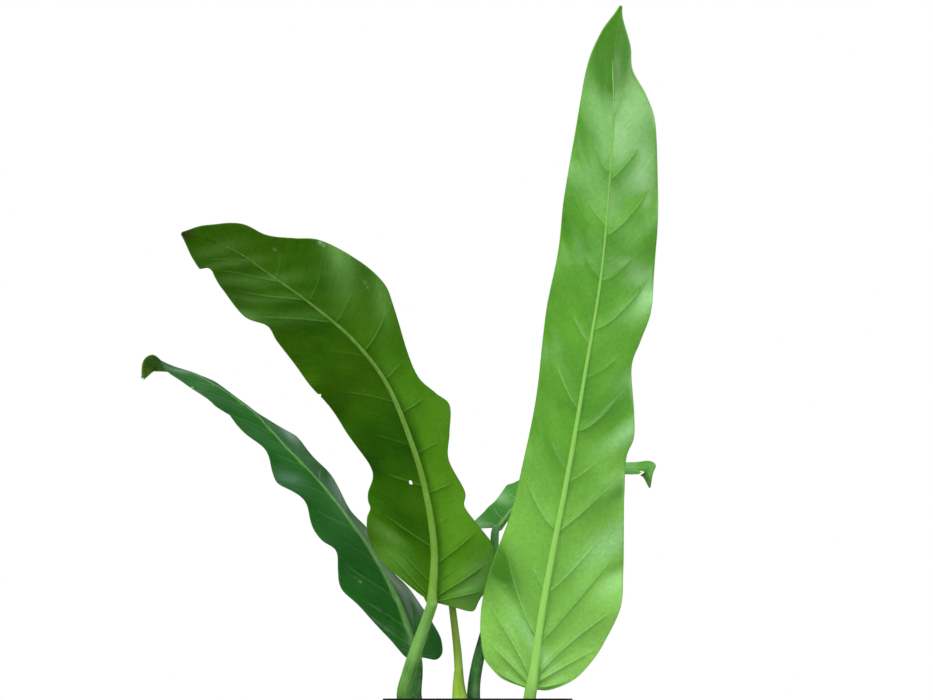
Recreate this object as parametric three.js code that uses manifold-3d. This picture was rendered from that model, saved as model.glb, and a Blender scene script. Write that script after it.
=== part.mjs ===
// A potted philodendron with long, narrow blades: a round nursery pot filled with potting mix, a short
// creeping stem, four leaves, each a blade and the petiole that runs on under it as the midrib, a rolled new
// leaf in its sheath, and a few roots. Millimetres, +Z up. The origin is at the middle of the pot's foot, and
// the side that shows most faces -Y.

import * as THREE from 'three';
import { mergeVertices } from 'three/addons/utils/BufferGeometryUtils.js';
import Module from 'manifold-3d';

const wasm = await Module();
wasm.setup();

// Driving sizes
const gap = 0.3;                // between pieces that touch
const bladeThickness = 0.8;
const bladeRows = 36;
const bladeColumns = 4;         // on each side of the midrib
const rowSpread = 0.35;         // how much closer together the rows lie towards the tip
const ribSides = 8;
const ribSteps = 26;
const petioleSteps = 12;
const veinLag = 1.35;           // how far the lateral veins run forward on their way to the margin
const veinSweep = 1.3;          // how much they bend forward
const midribTaper = 1.4;
const midribDepth = 0.65;       // as a share of the midrib's width
const flareReach = 12;          // how far up the midrib its flare at the blade's base fades
const petioleLead = 9;          // the petiole's last stretch, in line with the midrib
const petioleNarrowing = 1.15;  // over 1, the petiole has its upper radius a little below the blade
const flattening = { from: 0.78, to: 1.05 };  // shares of the petiole's length

const pot = {
  height: 120, rimRadius: 70, rimBand: 15, wall: 1.5, bodyTopRadius: 66, footRadius: 49, floor: 1.8,
  padRadius: 20, footWidth: 8, recess: 2, holeCircle: 31, holeRadius: 4, holes: 6, sides: 48,
  footEdge: 1.5, rimStep: 0.6, rimEdge: 1, lipEdge: 0.8, floorEdge: 3, boreLength: 20, boreSides: 12,
};
const mix = { top: 97, bump: 1.3, rings: 9, sides: 40, lowerRing: 5, edgeDrop: 3 };
const stem = {
  path: [
    [50, -20, 99], [34, -15, 101], [14, -6, 101], [-6, 4, 101], [-28, 6, 101], [-46, 2, 101], [-58, -5, 98],
  ],
  radius: 8, tipRadius: 4.5, steps: 24, sides: 12, nodeSwell: 0.8, nodes: 6, endSize: 0.35, endRise: 4,
};

// A leaf's rib row is x, y, z, then in degrees how far the blade is rolled about its midrib, and how far its
// left and its right half are folded towards the side that faces -Y. An outline point is a distance along the
// midrib and a distance out from it. under is 1 where the underside faces -Y.
const tallLeaf = {
  name: 'tall_leaf', under: 1, blade: '#6aa63e', stalk: '#8cc65c',
  rib: [
    [39, -26, 127, 6, -8, -8], [49, -36, 195, 6, -9, -9], [66, -52, 284, 4, -9, -9],
    [78, -66, 354, 2, -9, -9], [89, -80, 421, 0, -9, -9], [95, -92, 487, -2, -9, -9],
    [98, -100, 541, -4, -9, -9], [98, -103, 579, -4, -4, -4], [104, -104, 617, -2, -1, -1],
  ],
  left: [
    [0, 5], [3, 21], [9, 31], [18, 39], [38, 44.5], [59, 46], [86, 42.5], [123, 36.5], [168, 34], [217, 33],
    [274, 36], [322, 33], [361, 32], [407, 27], [445, 21.5], [480, 11], [495, 4], [502, 1],
  ],
  right: [
    [0, 4], [1, 13], [10, 29], [24, 40], [41, 48], [69, 56], [95, 53], [125, 48], [153, 43], [177, 40],
    [192, 43], [211, 40], [242, 33], [262, 36], [283, 40], [308, 39], [343, 38], [376, 36], [416, 32],
    [435, 25], [454, 15], [473, 12], [493, 3], [502, 1],
  ],
  wave: { left: 5, right: 5, length: 72, leftPhase: 0.4, rightPhase: 2.2, halfWidth: 50 },
  petiole: { path: [[36, -17.5, 102.5], [36.6, -23, 110.5]], baseRadius: 5.6, topRadius: 4.6 },
  midrib: { baseRadius: 3, tipRadius: 0.8, flare: 1.5, end: 0.95, clearance: 0.35 },
};
const archingLeaf = {
  name: 'arching_leaf', under: 1, blade: '#41701f', stalk: '#7fb05a',
  rib: [
    [-34, -14, 190, -6, -8, -8], [-32, -20, 228, 0, -8, -14], [-38, -30, 270, 8, -8, -34],
    [-49, -42, 307, 12, -8, -40], [-66, -56, 346, 12, -8, -34], [-89, -70, 375, 12, -8, -14],
    [-117, -84, 398, 16, -8, -8], [-144, -98, 416, 22, -8, -8], [-170, -114, 432, 30, -8, -8],
    [-192, -130, 439, 36, -6, -6], [-206, -148, 439, 40, -4, -4],
  ],
  left: [
    [0, 4], [8, 9], [11.5, 16], [16, 25], [26, 38], [42, 46], [56, 49], [69.5, 47.4], [77, 43.8],
    [83, 44.6], [90, 43.5], [105, 37], [131, 41], [150, 45], [168, 48], [190, 47], [220, 45], [249, 39],
    [265, 33], [282, 38], [305, 33], [317, 27.2], [325.5, 22], [331.5, 22.3], [334.3, 24.4], [350, 13],
    [367, 1],
  ],
  right: [
    [0, 4], [-1.6, 13.5], [-3.6, 19], [-5.8, 28.5], [-4.8, 33], [2.5, 36], [7, 38.4], [13, 45], [21, 45.5],
    [34, 46.3], [40, 44.2], [50, 37], [65, 28], [75, 31], [98, 25], [115, 33], [133, 41], [145, 33],
    [160, 25], [180, 28], [205, 38], [220, 45], [247, 46], [272, 41], [290, 31], [308, 22], [325, 20],
    [345, 11], [367, 1],
  ],
  wave: { left: 6, right: 4, length: 66, leftPhase: 1.0, rightPhase: 2.6, halfWidth: 46 },
  petiole: {
    path: [[-50, -2, 104], [-54, -8, 122], [-50.3, -10, 139], [-45, -11, 156], [-39, -12, 173]],
    baseRadius: 6, topRadius: 4,
  },
  midrib: { baseRadius: 2.8, tipRadius: 0.8, flare: 1.1, end: 0.94, clearance: 0.35 },
};
const sideLeaf = {
  name: 'side_leaf', under: -1, blade: '#2c5c36', stalk: '#4f8f4a',
  rib: [
    [-44, 22, 151, -31, -14, -14], [-57, 30, 188, -48, -20, -17], [-75, 42, 223, -61, -20, -20],
    [-98, 56, 257, -65, -18, -17], [-124, 70, 289, -66, -16, -13], [-151, 84, 317, -67, -13, -4],
    [-177, 98, 345, -66, -10, -15], [-203, 110, 365, -72, -13, -15], [-227, 119, 379, -74, -16, -8],
    [-244, 124, 386, -84, -14, -6], [-257, 126, 390, -112, -12, -12], [-265, 125, 388, -140, -10, -10],
    [-270, 121, 377, -150, -6, -6],
  ],
  left: [
    [0, 4], [2.5, 10], [19, 18], [39, 29.4], [63, 39.7], [83, 38.6], [98, 35], [108, 40], [120, 37],
    [134, 34], [150, 31.8], [168, 38.6], [189, 32], [208, 25.5], [223, 30.5], [240, 28], [257, 26.4],
    [263, 32], [268, 33.5], [282, 29], [301, 23], [331, 21], [345, 14.5], [358, 8], [371, 1],
  ],
  right: [
    [0, 4], [-4, 15], [-1, 23], [7, 29], [20, 34], [45, 37], [80, 38], [200, 38], [224, 40],
    [233, 42], [243, 38.5], [258, 34], [280, 32], [304, 27], [318, 29.5], [327, 27], [335, 19], [345, 12],
    [358, 6], [371, 1],
  ],
  wave: { left: 3.5, right: 1.7, length: 57, leftPhase: -3.04, rightPhase: 0.92, halfWidth: 38 },
  petiole: { path: [[-40, 8, 104], [-46, 13, 120], [-45, 17, 138]], baseRadius: 5.4, topRadius: 3.8 },
  midrib: { baseRadius: 2.6, tipRadius: 0.8, flare: 0.6, end: 0.86, clearance: 0.55 },
};
const backLeaf = {
  name: 'back_leaf', under: -1, blade: '#4a8c3c', stalk: '#3c7040',
  rib: [
    [16, 40, 250.5, 58, 15, 15], [30, 66, 268, 66, 13, 13], [55, 104, 287.5, 70, 10, 10],
    [84, 146, 302, 74, 8, 8], [110, 184, 308, 74, 6, -8], [128, 210, 313.5, 70, 4, -12],
    [139, 224, 314.5, 50, 0, 0], [146, 230, 314, 10, -4, -4], [148.5, 232, 308, -6, -4, -4],
    [148.2, 233, 297.7, -8, -4, -4],
  ],
  left: [
    [0, 4], [-4, 13], [-1, 21], [8, 25], [18, 25.5], [32, 25], [50, 26.5], [70, 31], [95, 38], [140, 37],
    [180, 24], [205, 14], [220, 10.5], [233, 8.5], [240, 6.5], [244.3, 8.4], [246.5, 4.8], [250, 2.3],
    [259, 1],
  ],
  right: [
    [0, 4], [-4, 13], [0, 21], [14, 29], [45, 36], [90, 40], [140, 37], [180, 27], [198, 22], [212, 16],
    [224, 8], [232, 6], [243, 8], [248, 6.5], [252, 5], [259, 1],
  ],
  wave: { left: 2, right: 3, length: 60, leftPhase: 0.6, rightPhase: 2.0, halfWidth: 40 },
  petiole: {
    path: [[-1, 8, 105], [-3, 15, 122], [0, 20, 146], [12, 29.5, 195]],
    baseRadius: 5, topRadius: 3.2,
  },
  midrib: { baseRadius: 2.2, tipRadius: 0.8, flare: 0.5, end: 0.84, clearance: 0.35 },
};
const leaves = [tallLeaf, archingLeaf, sideLeaf, backLeaf];

const newLeaf = {
  path: [
    [-14, 3, 122], [-14, 4, 138], [-15, 6, 154], [-17, 7, 172], [-21, 10, 205], [-24, 13, 240],
    [-25, 15, 262],
  ],
  radii: [3.3, 3.4, 3.2, 2.9, 2.7, 2.1, 0.5], steps: 30, sides: 10, colour: '#83792f',
};
const sheath = {
  path: [[-14, 3, 106], [-13, 2, 116], [-14, 3, 130], [-14, 4, 142], [-14.5, 5, 150]],
  radii: [6.4, 6.3, 4.9, 4.3, 4.1], steps: 14, sides: 12, colour: '#9cc050',
};
const roots = [
  [[24, -16, 103], [27, -27, 103], [29, -33, 96], [30, -36, 84]],
  [[-16, 3, 100], [-18, -9, 102], [-20, -17, 98], [-21, -20, 86]],
  [[-34, 8, 100], [-29, 20, 102], [-26, 28, 97], [-25, 31, 85]],
  [[8, -2, 100], [13, 12, 103], [17, 21, 98], [19, 25, 86]],
];
const rootRadius = 1.7;
const rootSides = 6;
const rootSteps = 10;

const vector = ([x, y, z]) => new THREE.Vector3(x, y, z);
const radians = THREE.MathUtils.degToRad;
const spline = (points) => {
  const curve = new THREE.CatmullRomCurve3(points, false, 'catmullrom', 0.5);
  curve.arcLengthDivisions = 400;
  return curve;
};

// A closed surface, turned the right way out by the sign of its volume.
function closed(vertices, triangles) {
  let volume = 0;
  for (const [i, j, k] of triangles) {
    volume += vertices[i].dot(new THREE.Vector3().crossVectors(vertices[j], vertices[k]));
  }
  const index = triangles.flatMap(([i, j, k]) => (volume > 0 ? [i, j, k] : [i, k, j]));
  const geometry = new THREE.BufferGeometry();
  const places = vertices.flatMap((v) => v.toArray());
  geometry.setAttribute('position', new THREE.Float32BufferAttribute(places, 3));
  geometry.setIndex(index);
  return geometry;
}

// A solid through a row of sections with the same number of points, with flat ends.
function loft(sections) {
  const sides = sections[0].length;
  const vertices = sections.flat();
  const triangles = [];
  for (let i = 0; i + 1 < sections.length; i += 1) {
    for (let j = 0; j < sides; j += 1) {
      const a = i * sides + j;
      const b = i * sides + ((j + 1) % sides);
      triangles.push([a, b, b + sides], [a, b + sides, a + sides]);
    }
  }
  const last = (sections.length - 1) * sides;
  for (let j = 1; j + 1 < sides; j += 1) {
    triangles.push([0, j + 1, j], [last, last + j, last + j + 1]);
  }
  return closed(vertices, triangles);
}

// One section of a stalk: an ellipse across the direction of travel.
function section(centre, forward, sideways, halfWidth, halfDepth, sides) {
  const across = sideways.clone().addScaledVector(forward, -sideways.dot(forward)).normalize();
  const deep = new THREE.Vector3().crossVectors(across, forward);
  return Array.from({ length: sides }, (_, j) => {
    const angle = (2 * Math.PI * j) / sides;
    return centre.clone()
      .addScaledVector(across, halfWidth * Math.cos(angle))
      .addScaledVector(deep, halfDepth * Math.sin(angle));
  });
}

// A round stalk along a path, with the radius read from an even row of radii. extra widens and lengthens it.
function stalk(path, radii, steps, sides, extra = 0) {
  const curve = spline(path.map(vector));
  const radiusCurve = spline(radii.map((r) => new THREE.Vector3(r, 0, 0)));
  const sections = [];
  for (let i = 0; i <= steps; i += 1) {
    const t = i / steps;
    const radius = radiusCurve.getPoint(t).x + extra;
    const centre = curve.getPoint(t);
    const forward = curve.getTangent(t);
    if (extra && (i === 0 || i === steps)) centre.addScaledVector(forward, i ? extra : -extra);
    sections.push(section(centre, forward, new THREE.Vector3(1, 0.2, 0.1), radius, radius, sides));
  }
  return loft(sections);
}

function solid(geometry) {
  const bare = geometry.clone();
  bare.deleteAttribute('normal');
  bare.deleteAttribute('uv');
  const merged = mergeVertices(bare, 1e-4);
  return new wasm.Manifold(new wasm.Mesh({
    numProp: 3,
    vertProperties: new Float32Array(merged.attributes.position.array),
    triVerts: new Uint32Array(merged.index.array),
  }));
}

function geometryOf(manifold) {
  const mesh = manifold.getMesh();
  const geometry = new THREE.BufferGeometry();
  geometry.setAttribute('position', new THREE.Float32BufferAttribute(mesh.vertProperties, 3));
  geometry.setIndex(Array.from(mesh.triVerts));
  return geometry;
}

// The midrib of a blade: where it is at a distance along it, which way it runs, and which way the blade
// faces there.
function midribOf(leaf) {
  const path = spline(leaf.rib.map(vector));
  const turns = spline(leaf.rib.map(([, , , roll, left, right]) => new THREE.Vector3(roll, left, right)));
  const length = path.getLength();
  const at = (along) => {
    const within = THREE.MathUtils.clamp(along, 0, length);
    const t = path.getUtoTmapping(within / length);
    const forward = path.getTangent(t);
    const flat = new THREE.Vector3(forward.z, 0, -forward.x).normalize();
    const facing = new THREE.Vector3().crossVectors(flat, forward);
    const turn = turns.getPoint(t);
    const roll = radians(turn.x);
    return {
      point: path.getPoint(t).addScaledVector(forward, along - within),
      forward,
      side: flat.clone().multiplyScalar(Math.cos(roll)).addScaledVector(facing, Math.sin(roll)),
      face: facing.multiplyScalar(Math.cos(roll)).addScaledVector(flat, -Math.sin(roll)),
      folds: [radians(turn.y), radians(turn.z)],
    };
  };
  return { length, at };
}

// A point of the blade's middle surface, a distance along the midrib and out from it, left being negative.
function bladePoint(leaf, rib, along, out) {
  const { point, side, face, folds } = rib.at(along);
  const { wave } = leaf;
  const left = out < 0;
  const fold = left ? folds[0] : folds[1];
  const fade = Math.sqrt(Math.sin(Math.PI * THREE.MathUtils.clamp(along / rib.length, 0.02, 0.98)));
  const phase = (2 * Math.PI * along) / wave.length + (left ? wave.leftPhase : wave.rightPhase);
  const ripple = (left ? wave.left : wave.right) * fade * Math.sin(phase) * (out / wave.halfWidth) ** 2;
  return point
    .addScaledVector(side, out * Math.cos(fold))
    .addScaledVector(face, Math.abs(out) * Math.sin(fold) + ripple);
}

function bladeNormal(leaf, rib, along, out) {
  const step = 0.5;
  const on = out < 0 ? -step : step;
  const at = (a, b) => bladePoint(leaf, rib, a, b);
  const across = at(along, out + on).sub(at(along, out)).divideScalar(on);
  const forward = at(along + step, out).sub(at(along - step, out));
  return across.cross(forward).normalize();
}

// A thin blade between its two outlines. Each row of the grid follows a lateral vein from the midrib to the
// margin, and both faces are split along the same diagonals.
function blade(leaf) {
  const rib = midribOf(leaf);
  const outline = (points) => spline(points.map(([a, b]) => new THREE.Vector3(a, b, 0)));
  const margins = [outline(leaf.left), outline(leaf.right)];
  const across = 2 * bladeColumns + 1;
  const faces = [[], []];
  for (let i = 0; i <= bladeRows; i += 1) {
    const u = i / bladeRows;
    const q = u * (1 + rowSpread * (1 - u));
    const start = rib.length * q ** veinLag;
    for (let j = -bladeColumns; j <= bladeColumns; j += 1) {
      const edge = margins[j < 0 ? 0 : 1].getPointAt(q);
      const s = Math.abs(j) / bladeColumns;
      const along = start + (edge.x - start) * s ** veinSweep;
      const out = edge.y * s * Math.sign(j);
      const middle = bladePoint(leaf, rib, along, out);
      const normal = bladeNormal(leaf, rib, along, out);
      faces[0].push(middle.clone().addScaledVector(normal, bladeThickness / 2));
      faces[1].push(middle.clone().addScaledVector(normal, -bladeThickness / 2));
    }
  }
  const count = faces[0].length;
  const triangles = [];
  for (let i = 0; i < bladeRows; i += 1) {
    for (let j = 0; j + 1 < across; j += 1) {
      const a = i * across + j;
      const [b, c, d] = [a + 1, a + across, a + across + 1];
      const halves = j < bladeColumns ? [[a, b, c], [b, d, c]] : [[a, b, d], [a, d, c]];
      for (const [k, l, m] of halves) triangles.push([k, l, m], [k + count, m + count, l + count]);
    }
  }
  const border = [];
  for (let j = 0; j < across; j += 1) border.push(j);
  for (let i = 1; i <= bladeRows; i += 1) border.push(i * across + across - 1);
  for (let j = across - 2; j >= 0; j -= 1) border.push(bladeRows * across + j);
  for (let i = bladeRows - 1; i > 0; i -= 1) border.push(i * across);
  border.forEach((a, n) => {
    const b = border[(n + 1) % border.length];
    triangles.push([b, a, a + count], [b, a + count, b + count]);
  });
  return closed([...faces[0], ...faces[1]], triangles);
}

// The petiole, from the stem to the blade, and on under the blade as its midrib, flattened where it meets the
// blade.
function petiole(leaf) {
  const rib = midribOf(leaf);
  const { baseRadius, tipRadius, flare, end, clearance } = leaf.midrib;
  const ribStation = (along) => {
    const { point, forward, side, face } = rib.at(along);
    const taper = (baseRadius - tipRadius) * (1 - along / rib.length) ** midribTaper;
    const width = tipRadius + taper + flare * Math.exp(-along / flareReach);
    const depth = midribDepth * width;
    const drop = bladeThickness / 2 + clearance + depth;
    return { centre: point.addScaledVector(face, leaf.under * drop), forward, side, width, depth };
  };
  const joint = ribStation(0);
  const lead = joint.centre.clone().addScaledVector(joint.forward, -petioleLead);
  const path = spline([...leaf.petiole.path.map(vector), lead, joint.centre]);
  const sections = [];
  for (let i = 0; i < petioleSteps; i += 1) {
    const u = i / petioleSteps;
    const narrowed = Math.min(1, u * petioleNarrowing);
    const round = THREE.MathUtils.lerp(leaf.petiole.baseRadius, leaf.petiole.topRadius, narrowed);
    const flat = THREE.MathUtils.smoothstep(u, flattening.from, flattening.to);
    const forward = path.getTangentAt(u);
    const width = THREE.MathUtils.lerp(round, joint.width, flat);
    const depth = THREE.MathUtils.lerp(round, joint.depth, flat);
    sections.push(section(path.getPointAt(u), forward, joint.side, width, depth, ribSides));
  }
  for (let i = 0; i <= ribSteps; i += 1) {
    const { centre, forward, side, width, depth } = ribStation((end * rib.length * i) / ribSteps);
    sections.push(section(centre, forward, side, width, depth, ribSides));
  }
  return solid(loft(sections)).subtract(solid(stemGeometry(gap)));
}

function stemGeometry(extra) {
  const radii = Array.from({ length: stem.steps + 1 }, (_, i) => {
    const t = i / stem.steps;
    const ends = Math.min(1, stem.endRise * Math.min(t, 1 - t) + stem.endSize);
    const swell = stem.nodeSwell * Math.cos(2 * Math.PI * stem.nodes * t);
    return stem.tipRadius + (stem.radius - stem.tipRadius + swell) * ends;
  });
  return stalk(stem.path, radii, stem.steps, stem.sides, extra);
}

function root(points, extra) {
  const outline = new THREE.Shape();
  for (let j = 0; j < rootSides; j += 1) {
    const angle = (2 * Math.PI * j) / rootSides;
    const [x, y] = [(rootRadius + extra) * Math.cos(angle), (rootRadius + extra) * Math.sin(angle)];
    if (j) outline.lineTo(x, y);
    else outline.moveTo(x, y);
  }
  outline.closePath();
  const extrudePath = spline(points.map(vector));
  return solid(new THREE.ExtrudeGeometry(outline, { steps: rootSteps, extrudePath }));
}

// The pot: a thin wall that steps out at the rim band, on a foot ring and a middle pad, with drain holes
// between them.
function potSolid() {
  const { height, rimRadius, wall, bodyTopRadius, footRadius, padRadius, recess } = pot;
  const { footEdge, rimEdge, lipEdge, floorEdge } = pot;
  const step = height - pot.rimBand;
  const under = step + pot.rimStep;
  const inside = recess + pot.floor;
  const ringInside = footRadius - pot.footWidth;
  const profile = [
    [0, 0], [padRadius, 0], [padRadius + recess, recess], [ringInside - recess, recess], [ringInside, 0],
    [footRadius - footEdge, 0], [footRadius, footEdge], [bodyTopRadius, step],
    [rimRadius - rimEdge, under], [rimRadius, under + rimEdge],
    [rimRadius, height - lipEdge], [rimRadius - lipEdge, height], [rimRadius - wall, height],
    [rimRadius - wall, under + wall + pot.rimStep / 2], [bodyTopRadius - wall, under + pot.rimStep],
    [footRadius - wall + 1, inside + floorEdge + 1], [footRadius - wall - floorEdge, inside], [0, inside],
  ];
  const body = solid(new THREE.LatheGeometry(profile.map(([r, z]) => new THREE.Vector2(r, z)), pot.sides)
    .rotateX(Math.PI / 2));
  let drained = body;
  for (let i = 0; i < pot.holes; i += 1) {
    const angle = (2 * Math.PI * i) / pot.holes;
    const hole = new THREE.CylinderGeometry(pot.holeRadius, pot.holeRadius, pot.boreLength, pot.boreSides);
    hole.rotateX(Math.PI / 2);
    hole.translate(pot.holeCircle * Math.cos(angle), pot.holeCircle * Math.sin(angle), 0);
    drained = drained.subtract(solid(hole));
  }
  return drained;
}

function mixHeight(x, y) {
  return mix.top + mix.bump * (Math.sin(x / 8 + 1) * Math.cos(y / 9) + 0.5 * Math.sin(x / 3.7 + y / 5.1));
}

// The potting mix fills the pot to a bumpy top, with plain holes where the stem and the roots stand in it.
function mixSolid() {
  const inside = pot.recess + pot.floor + gap;
  const slope = (pot.bodyTopRadius - pot.footRadius) / (pot.height - pot.rimBand);
  const wallAt = (z) => pot.footRadius - pot.wall + slope * z - 2 * gap;
  const floorRadius = pot.footRadius - pot.wall - pot.floorEdge - gap;
  const sections = [];
  const ring = (radius, heightAt) => Array.from({ length: mix.sides }, (_, j) => {
    const angle = (2 * Math.PI * j) / mix.sides;
    const [x, y] = [radius * Math.cos(angle), radius * Math.sin(angle)];
    return new THREE.Vector3(x, y, heightAt(x, y));
  });
  const low = inside + mix.lowerRing;
  sections.push(ring(floorRadius, () => inside), ring(wallAt(low), () => low));
  for (let i = 0; i < mix.rings; i += 1) {
    sections.push(ring(wallAt(mix.top - mix.edgeDrop) * (1 - i / (mix.rings - 0.5)), mixHeight));
  }
  let filled = solid(loft(sections)).subtract(solid(stemGeometry(gap)));
  for (const points of roots) filled = filled.subtract(root(points, gap));
  return filled;
}

const group = new THREE.Group();
function add(name, geometry, color, roughness) {
  const mesh = new THREE.Mesh(geometry, new THREE.MeshStandardMaterial({ color, roughness, metalness: 0 }));
  mesh.name = name;
  group.add(mesh);
}

add('pot', geometryOf(potSolid()), '#1b1b1c', 0.55);
add('potting_mix', geometryOf(mixSolid()), '#3a2b20', 0.95);
add('stem', stemGeometry(0), '#6d7a3c', 0.7);
for (const leaf of leaves) {
  add(`${leaf.name}_blade`, blade(leaf), leaf.blade, 0.4);
  add(`${leaf.name}_petiole`, geometryOf(petiole(leaf)), leaf.stalk, 0.5);
}
const rolled = (piece, extra = 0) => solid(stalk(piece.path, piece.radii, piece.steps, piece.sides, extra));
add('new_leaf', geometryOf(rolled(newLeaf)), newLeaf.colour, 0.5);
const wrapped = rolled(sheath).subtract(rolled(newLeaf, gap)).subtract(solid(stemGeometry(gap)));
add('new_leaf_sheath', geometryOf(wrapped), sheath.colour, 0.5);
roots.forEach((points, i) => {
  add(`root_${i + 1}`, geometryOf(root(points, 0).subtract(solid(stemGeometry(gap)))), '#8a6a45', 0.8);
});

export default group;
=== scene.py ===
import math

import bmesh
import bpy
import numpy as np
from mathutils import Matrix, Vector, noise


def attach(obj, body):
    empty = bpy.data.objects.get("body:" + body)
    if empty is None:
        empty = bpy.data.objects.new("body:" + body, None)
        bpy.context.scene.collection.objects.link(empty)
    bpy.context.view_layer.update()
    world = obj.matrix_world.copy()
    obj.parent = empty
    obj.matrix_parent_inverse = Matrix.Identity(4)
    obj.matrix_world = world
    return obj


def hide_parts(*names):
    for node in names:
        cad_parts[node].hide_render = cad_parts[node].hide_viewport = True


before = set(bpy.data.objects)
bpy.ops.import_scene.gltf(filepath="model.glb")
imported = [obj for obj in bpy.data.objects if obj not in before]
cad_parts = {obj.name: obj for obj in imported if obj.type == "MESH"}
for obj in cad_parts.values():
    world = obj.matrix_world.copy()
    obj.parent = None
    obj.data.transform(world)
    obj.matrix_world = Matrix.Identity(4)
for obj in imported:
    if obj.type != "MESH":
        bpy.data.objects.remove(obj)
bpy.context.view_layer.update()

mm = 0.001  # all the sizes below are in millimetres
fullTurn = 2 * math.pi


# Curves and meshes

def smoothstep(low, high, value):
    t = np.clip((np.asarray(value, float) - low) / (high - low), 0, 1)
    return t * t * (3 - 2 * t)


def bell(value):
    return np.exp(-(value ** 2))


def between(first, second, share):
    return first + (second - first) * share


def unit(vectors):
    return vectors / np.maximum(np.linalg.norm(vectors, axis=-1, keepdims=True), 1e-12)


def roundAngles(sides):
    return np.linspace(0, fullTurn, sides, endpoint=False)


def travelled(points):
    return np.concatenate([[0], np.cumsum(np.linalg.norm(np.diff(points, axis=0), axis=1))])


def splineRows(rows, count):
    # a curve through every row, with mirrored end rows, sampled evenly in its own parameter
    rows = np.asarray(rows, float)
    padded = np.vstack([2 * rows[0] - rows[1], rows, 2 * rows[-1] - rows[-2]])
    t = np.linspace(0, len(rows) - 1, count)
    i = np.minimum(t.astype(int), len(rows) - 2)
    w = (t - i)[:, None]
    a, b, c, d = (padded[i + k] for k in range(4))
    return b + 0.5 * w * (c - a + w * (2 * a - 5 * b + 4 * c - d + w * (3 * (b - c) + d - a)))


def measuredCurve(rows, placeColumns, count=1201):
    table = splineRows(rows, count)
    return {"table": table, "reach": travelled(table[:, :placeColumns])}


def curveAt(curve, distance):
    return np.stack([np.interp(distance, curve["reach"], column) for column in curve["table"].T], -1)


def placeObject(name, data):
    placed = bpy.data.objects.new(name, data)
    bpy.context.scene.collection.objects.link(placed)
    return placed


def setSmooth(mesh, smooth):
    mesh.polygons.foreach_set("use_smooth", [smooth] * len(mesh.polygons))


def makePiece(name, points, faces, materials, faceMaterials=None, attributes=None, uv=None, smooth=True):
    mesh = bpy.data.meshes.new(name)
    mesh.from_pydata((np.asarray(points) * mm).tolist(), [], faces)
    for material in materials:
        mesh.materials.append(material)
    if faceMaterials is not None:
        mesh.polygons.foreach_set("material_index", np.asarray(faceMaterials, np.int32))
    setSmooth(mesh, smooth)
    for label, values in (attributes or {}).items():
        layer = mesh.attributes.new(label, "FLOAT", "POINT")
        layer.data.foreach_set("value", np.asarray(values, np.float32).ravel())
    if uv is not None:
        loops = np.empty(len(mesh.loops), np.int32)
        mesh.loops.foreach_get("vertex_index", loops)
        mesh.uv_layers.new(name="flow").data.foreach_set("uv", np.asarray(uv, np.float32)[loops].ravel())
    mesh.validate()
    mesh.update()
    return placeObject(name, mesh)


def outward(piece):
    # drops loose points and turns every face of a closed mesh to point out
    work = bmesh.new()
    work.from_mesh(piece.data)
    bmesh.ops.delete(work, geom=[v for v in work.verts if not v.link_faces], context="VERTS")
    bmesh.ops.recalc_face_normals(work, faces=work.faces)
    work.to_mesh(piece.data)
    work.free()
    return piece


def loftFaces(count, sides):
    # quads between the rings, and a flat cap at each end
    faces = []
    for i in range(count - 1):
        for j in range(sides):
            a, b = i * sides + j, i * sides + (j + 1) % sides
            faces.append((a, b, b + sides, a + sides))
    faces.append(tuple(range(sides))[::-1])
    faces.append(tuple(range((count - 1) * sides, count * sides)))
    return faces


def ringPoints(centres, across, deep, width, depth, angle):
    # a ring of points round each centre, with its half width across and its half depth
    return (centres[:, None, :] + across[:, None, :] * (width * np.cos(angle))[..., None]
            + deep[:, None, :] * (depth * np.sin(angle))[..., None])


def turnedRings(radius, sides):
    # x and y of the points of rings round the upright axis
    angle = roundAngles(sides)
    return radius[:, None] * np.cos(angle), radius[:, None] * np.sin(angle)


def finishPiece(piece, nodes):
    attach(piece, "root")
    if nodes:
        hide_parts(*nodes)
    return piece


# Shader helpers

def srgb(red, green, blue):
    def linear(c):
        c /= 255
        return c / 12.92 if c <= 0.04045 else ((c + 0.055) / 1.055) ** 2.4
    return (linear(red), linear(green), linear(blue), 1)


class Wire:
    # an output of a node, so that sums of outputs read as plain arithmetic
    def __init__(self, bench, socket):
        self.bench, self.socket = bench, socket

    def __add__(self, other):
        return self.bench.math("ADD", self, other)

    def __sub__(self, other):
        return self.bench.math("SUBTRACT", self, other)

    def __rsub__(self, other):
        return self.bench.math("SUBTRACT", other, self)

    def __mul__(self, other):
        return self.bench.math("MULTIPLY", self, other)

    def __truediv__(self, other):
        return self.bench.math("DIVIDE", self, other)

    def __neg__(self):
        return self.bench.math("MULTIPLY", self, -1.0)

    def clamped(self):
        self.socket.node.use_clamp = True
        return self


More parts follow.
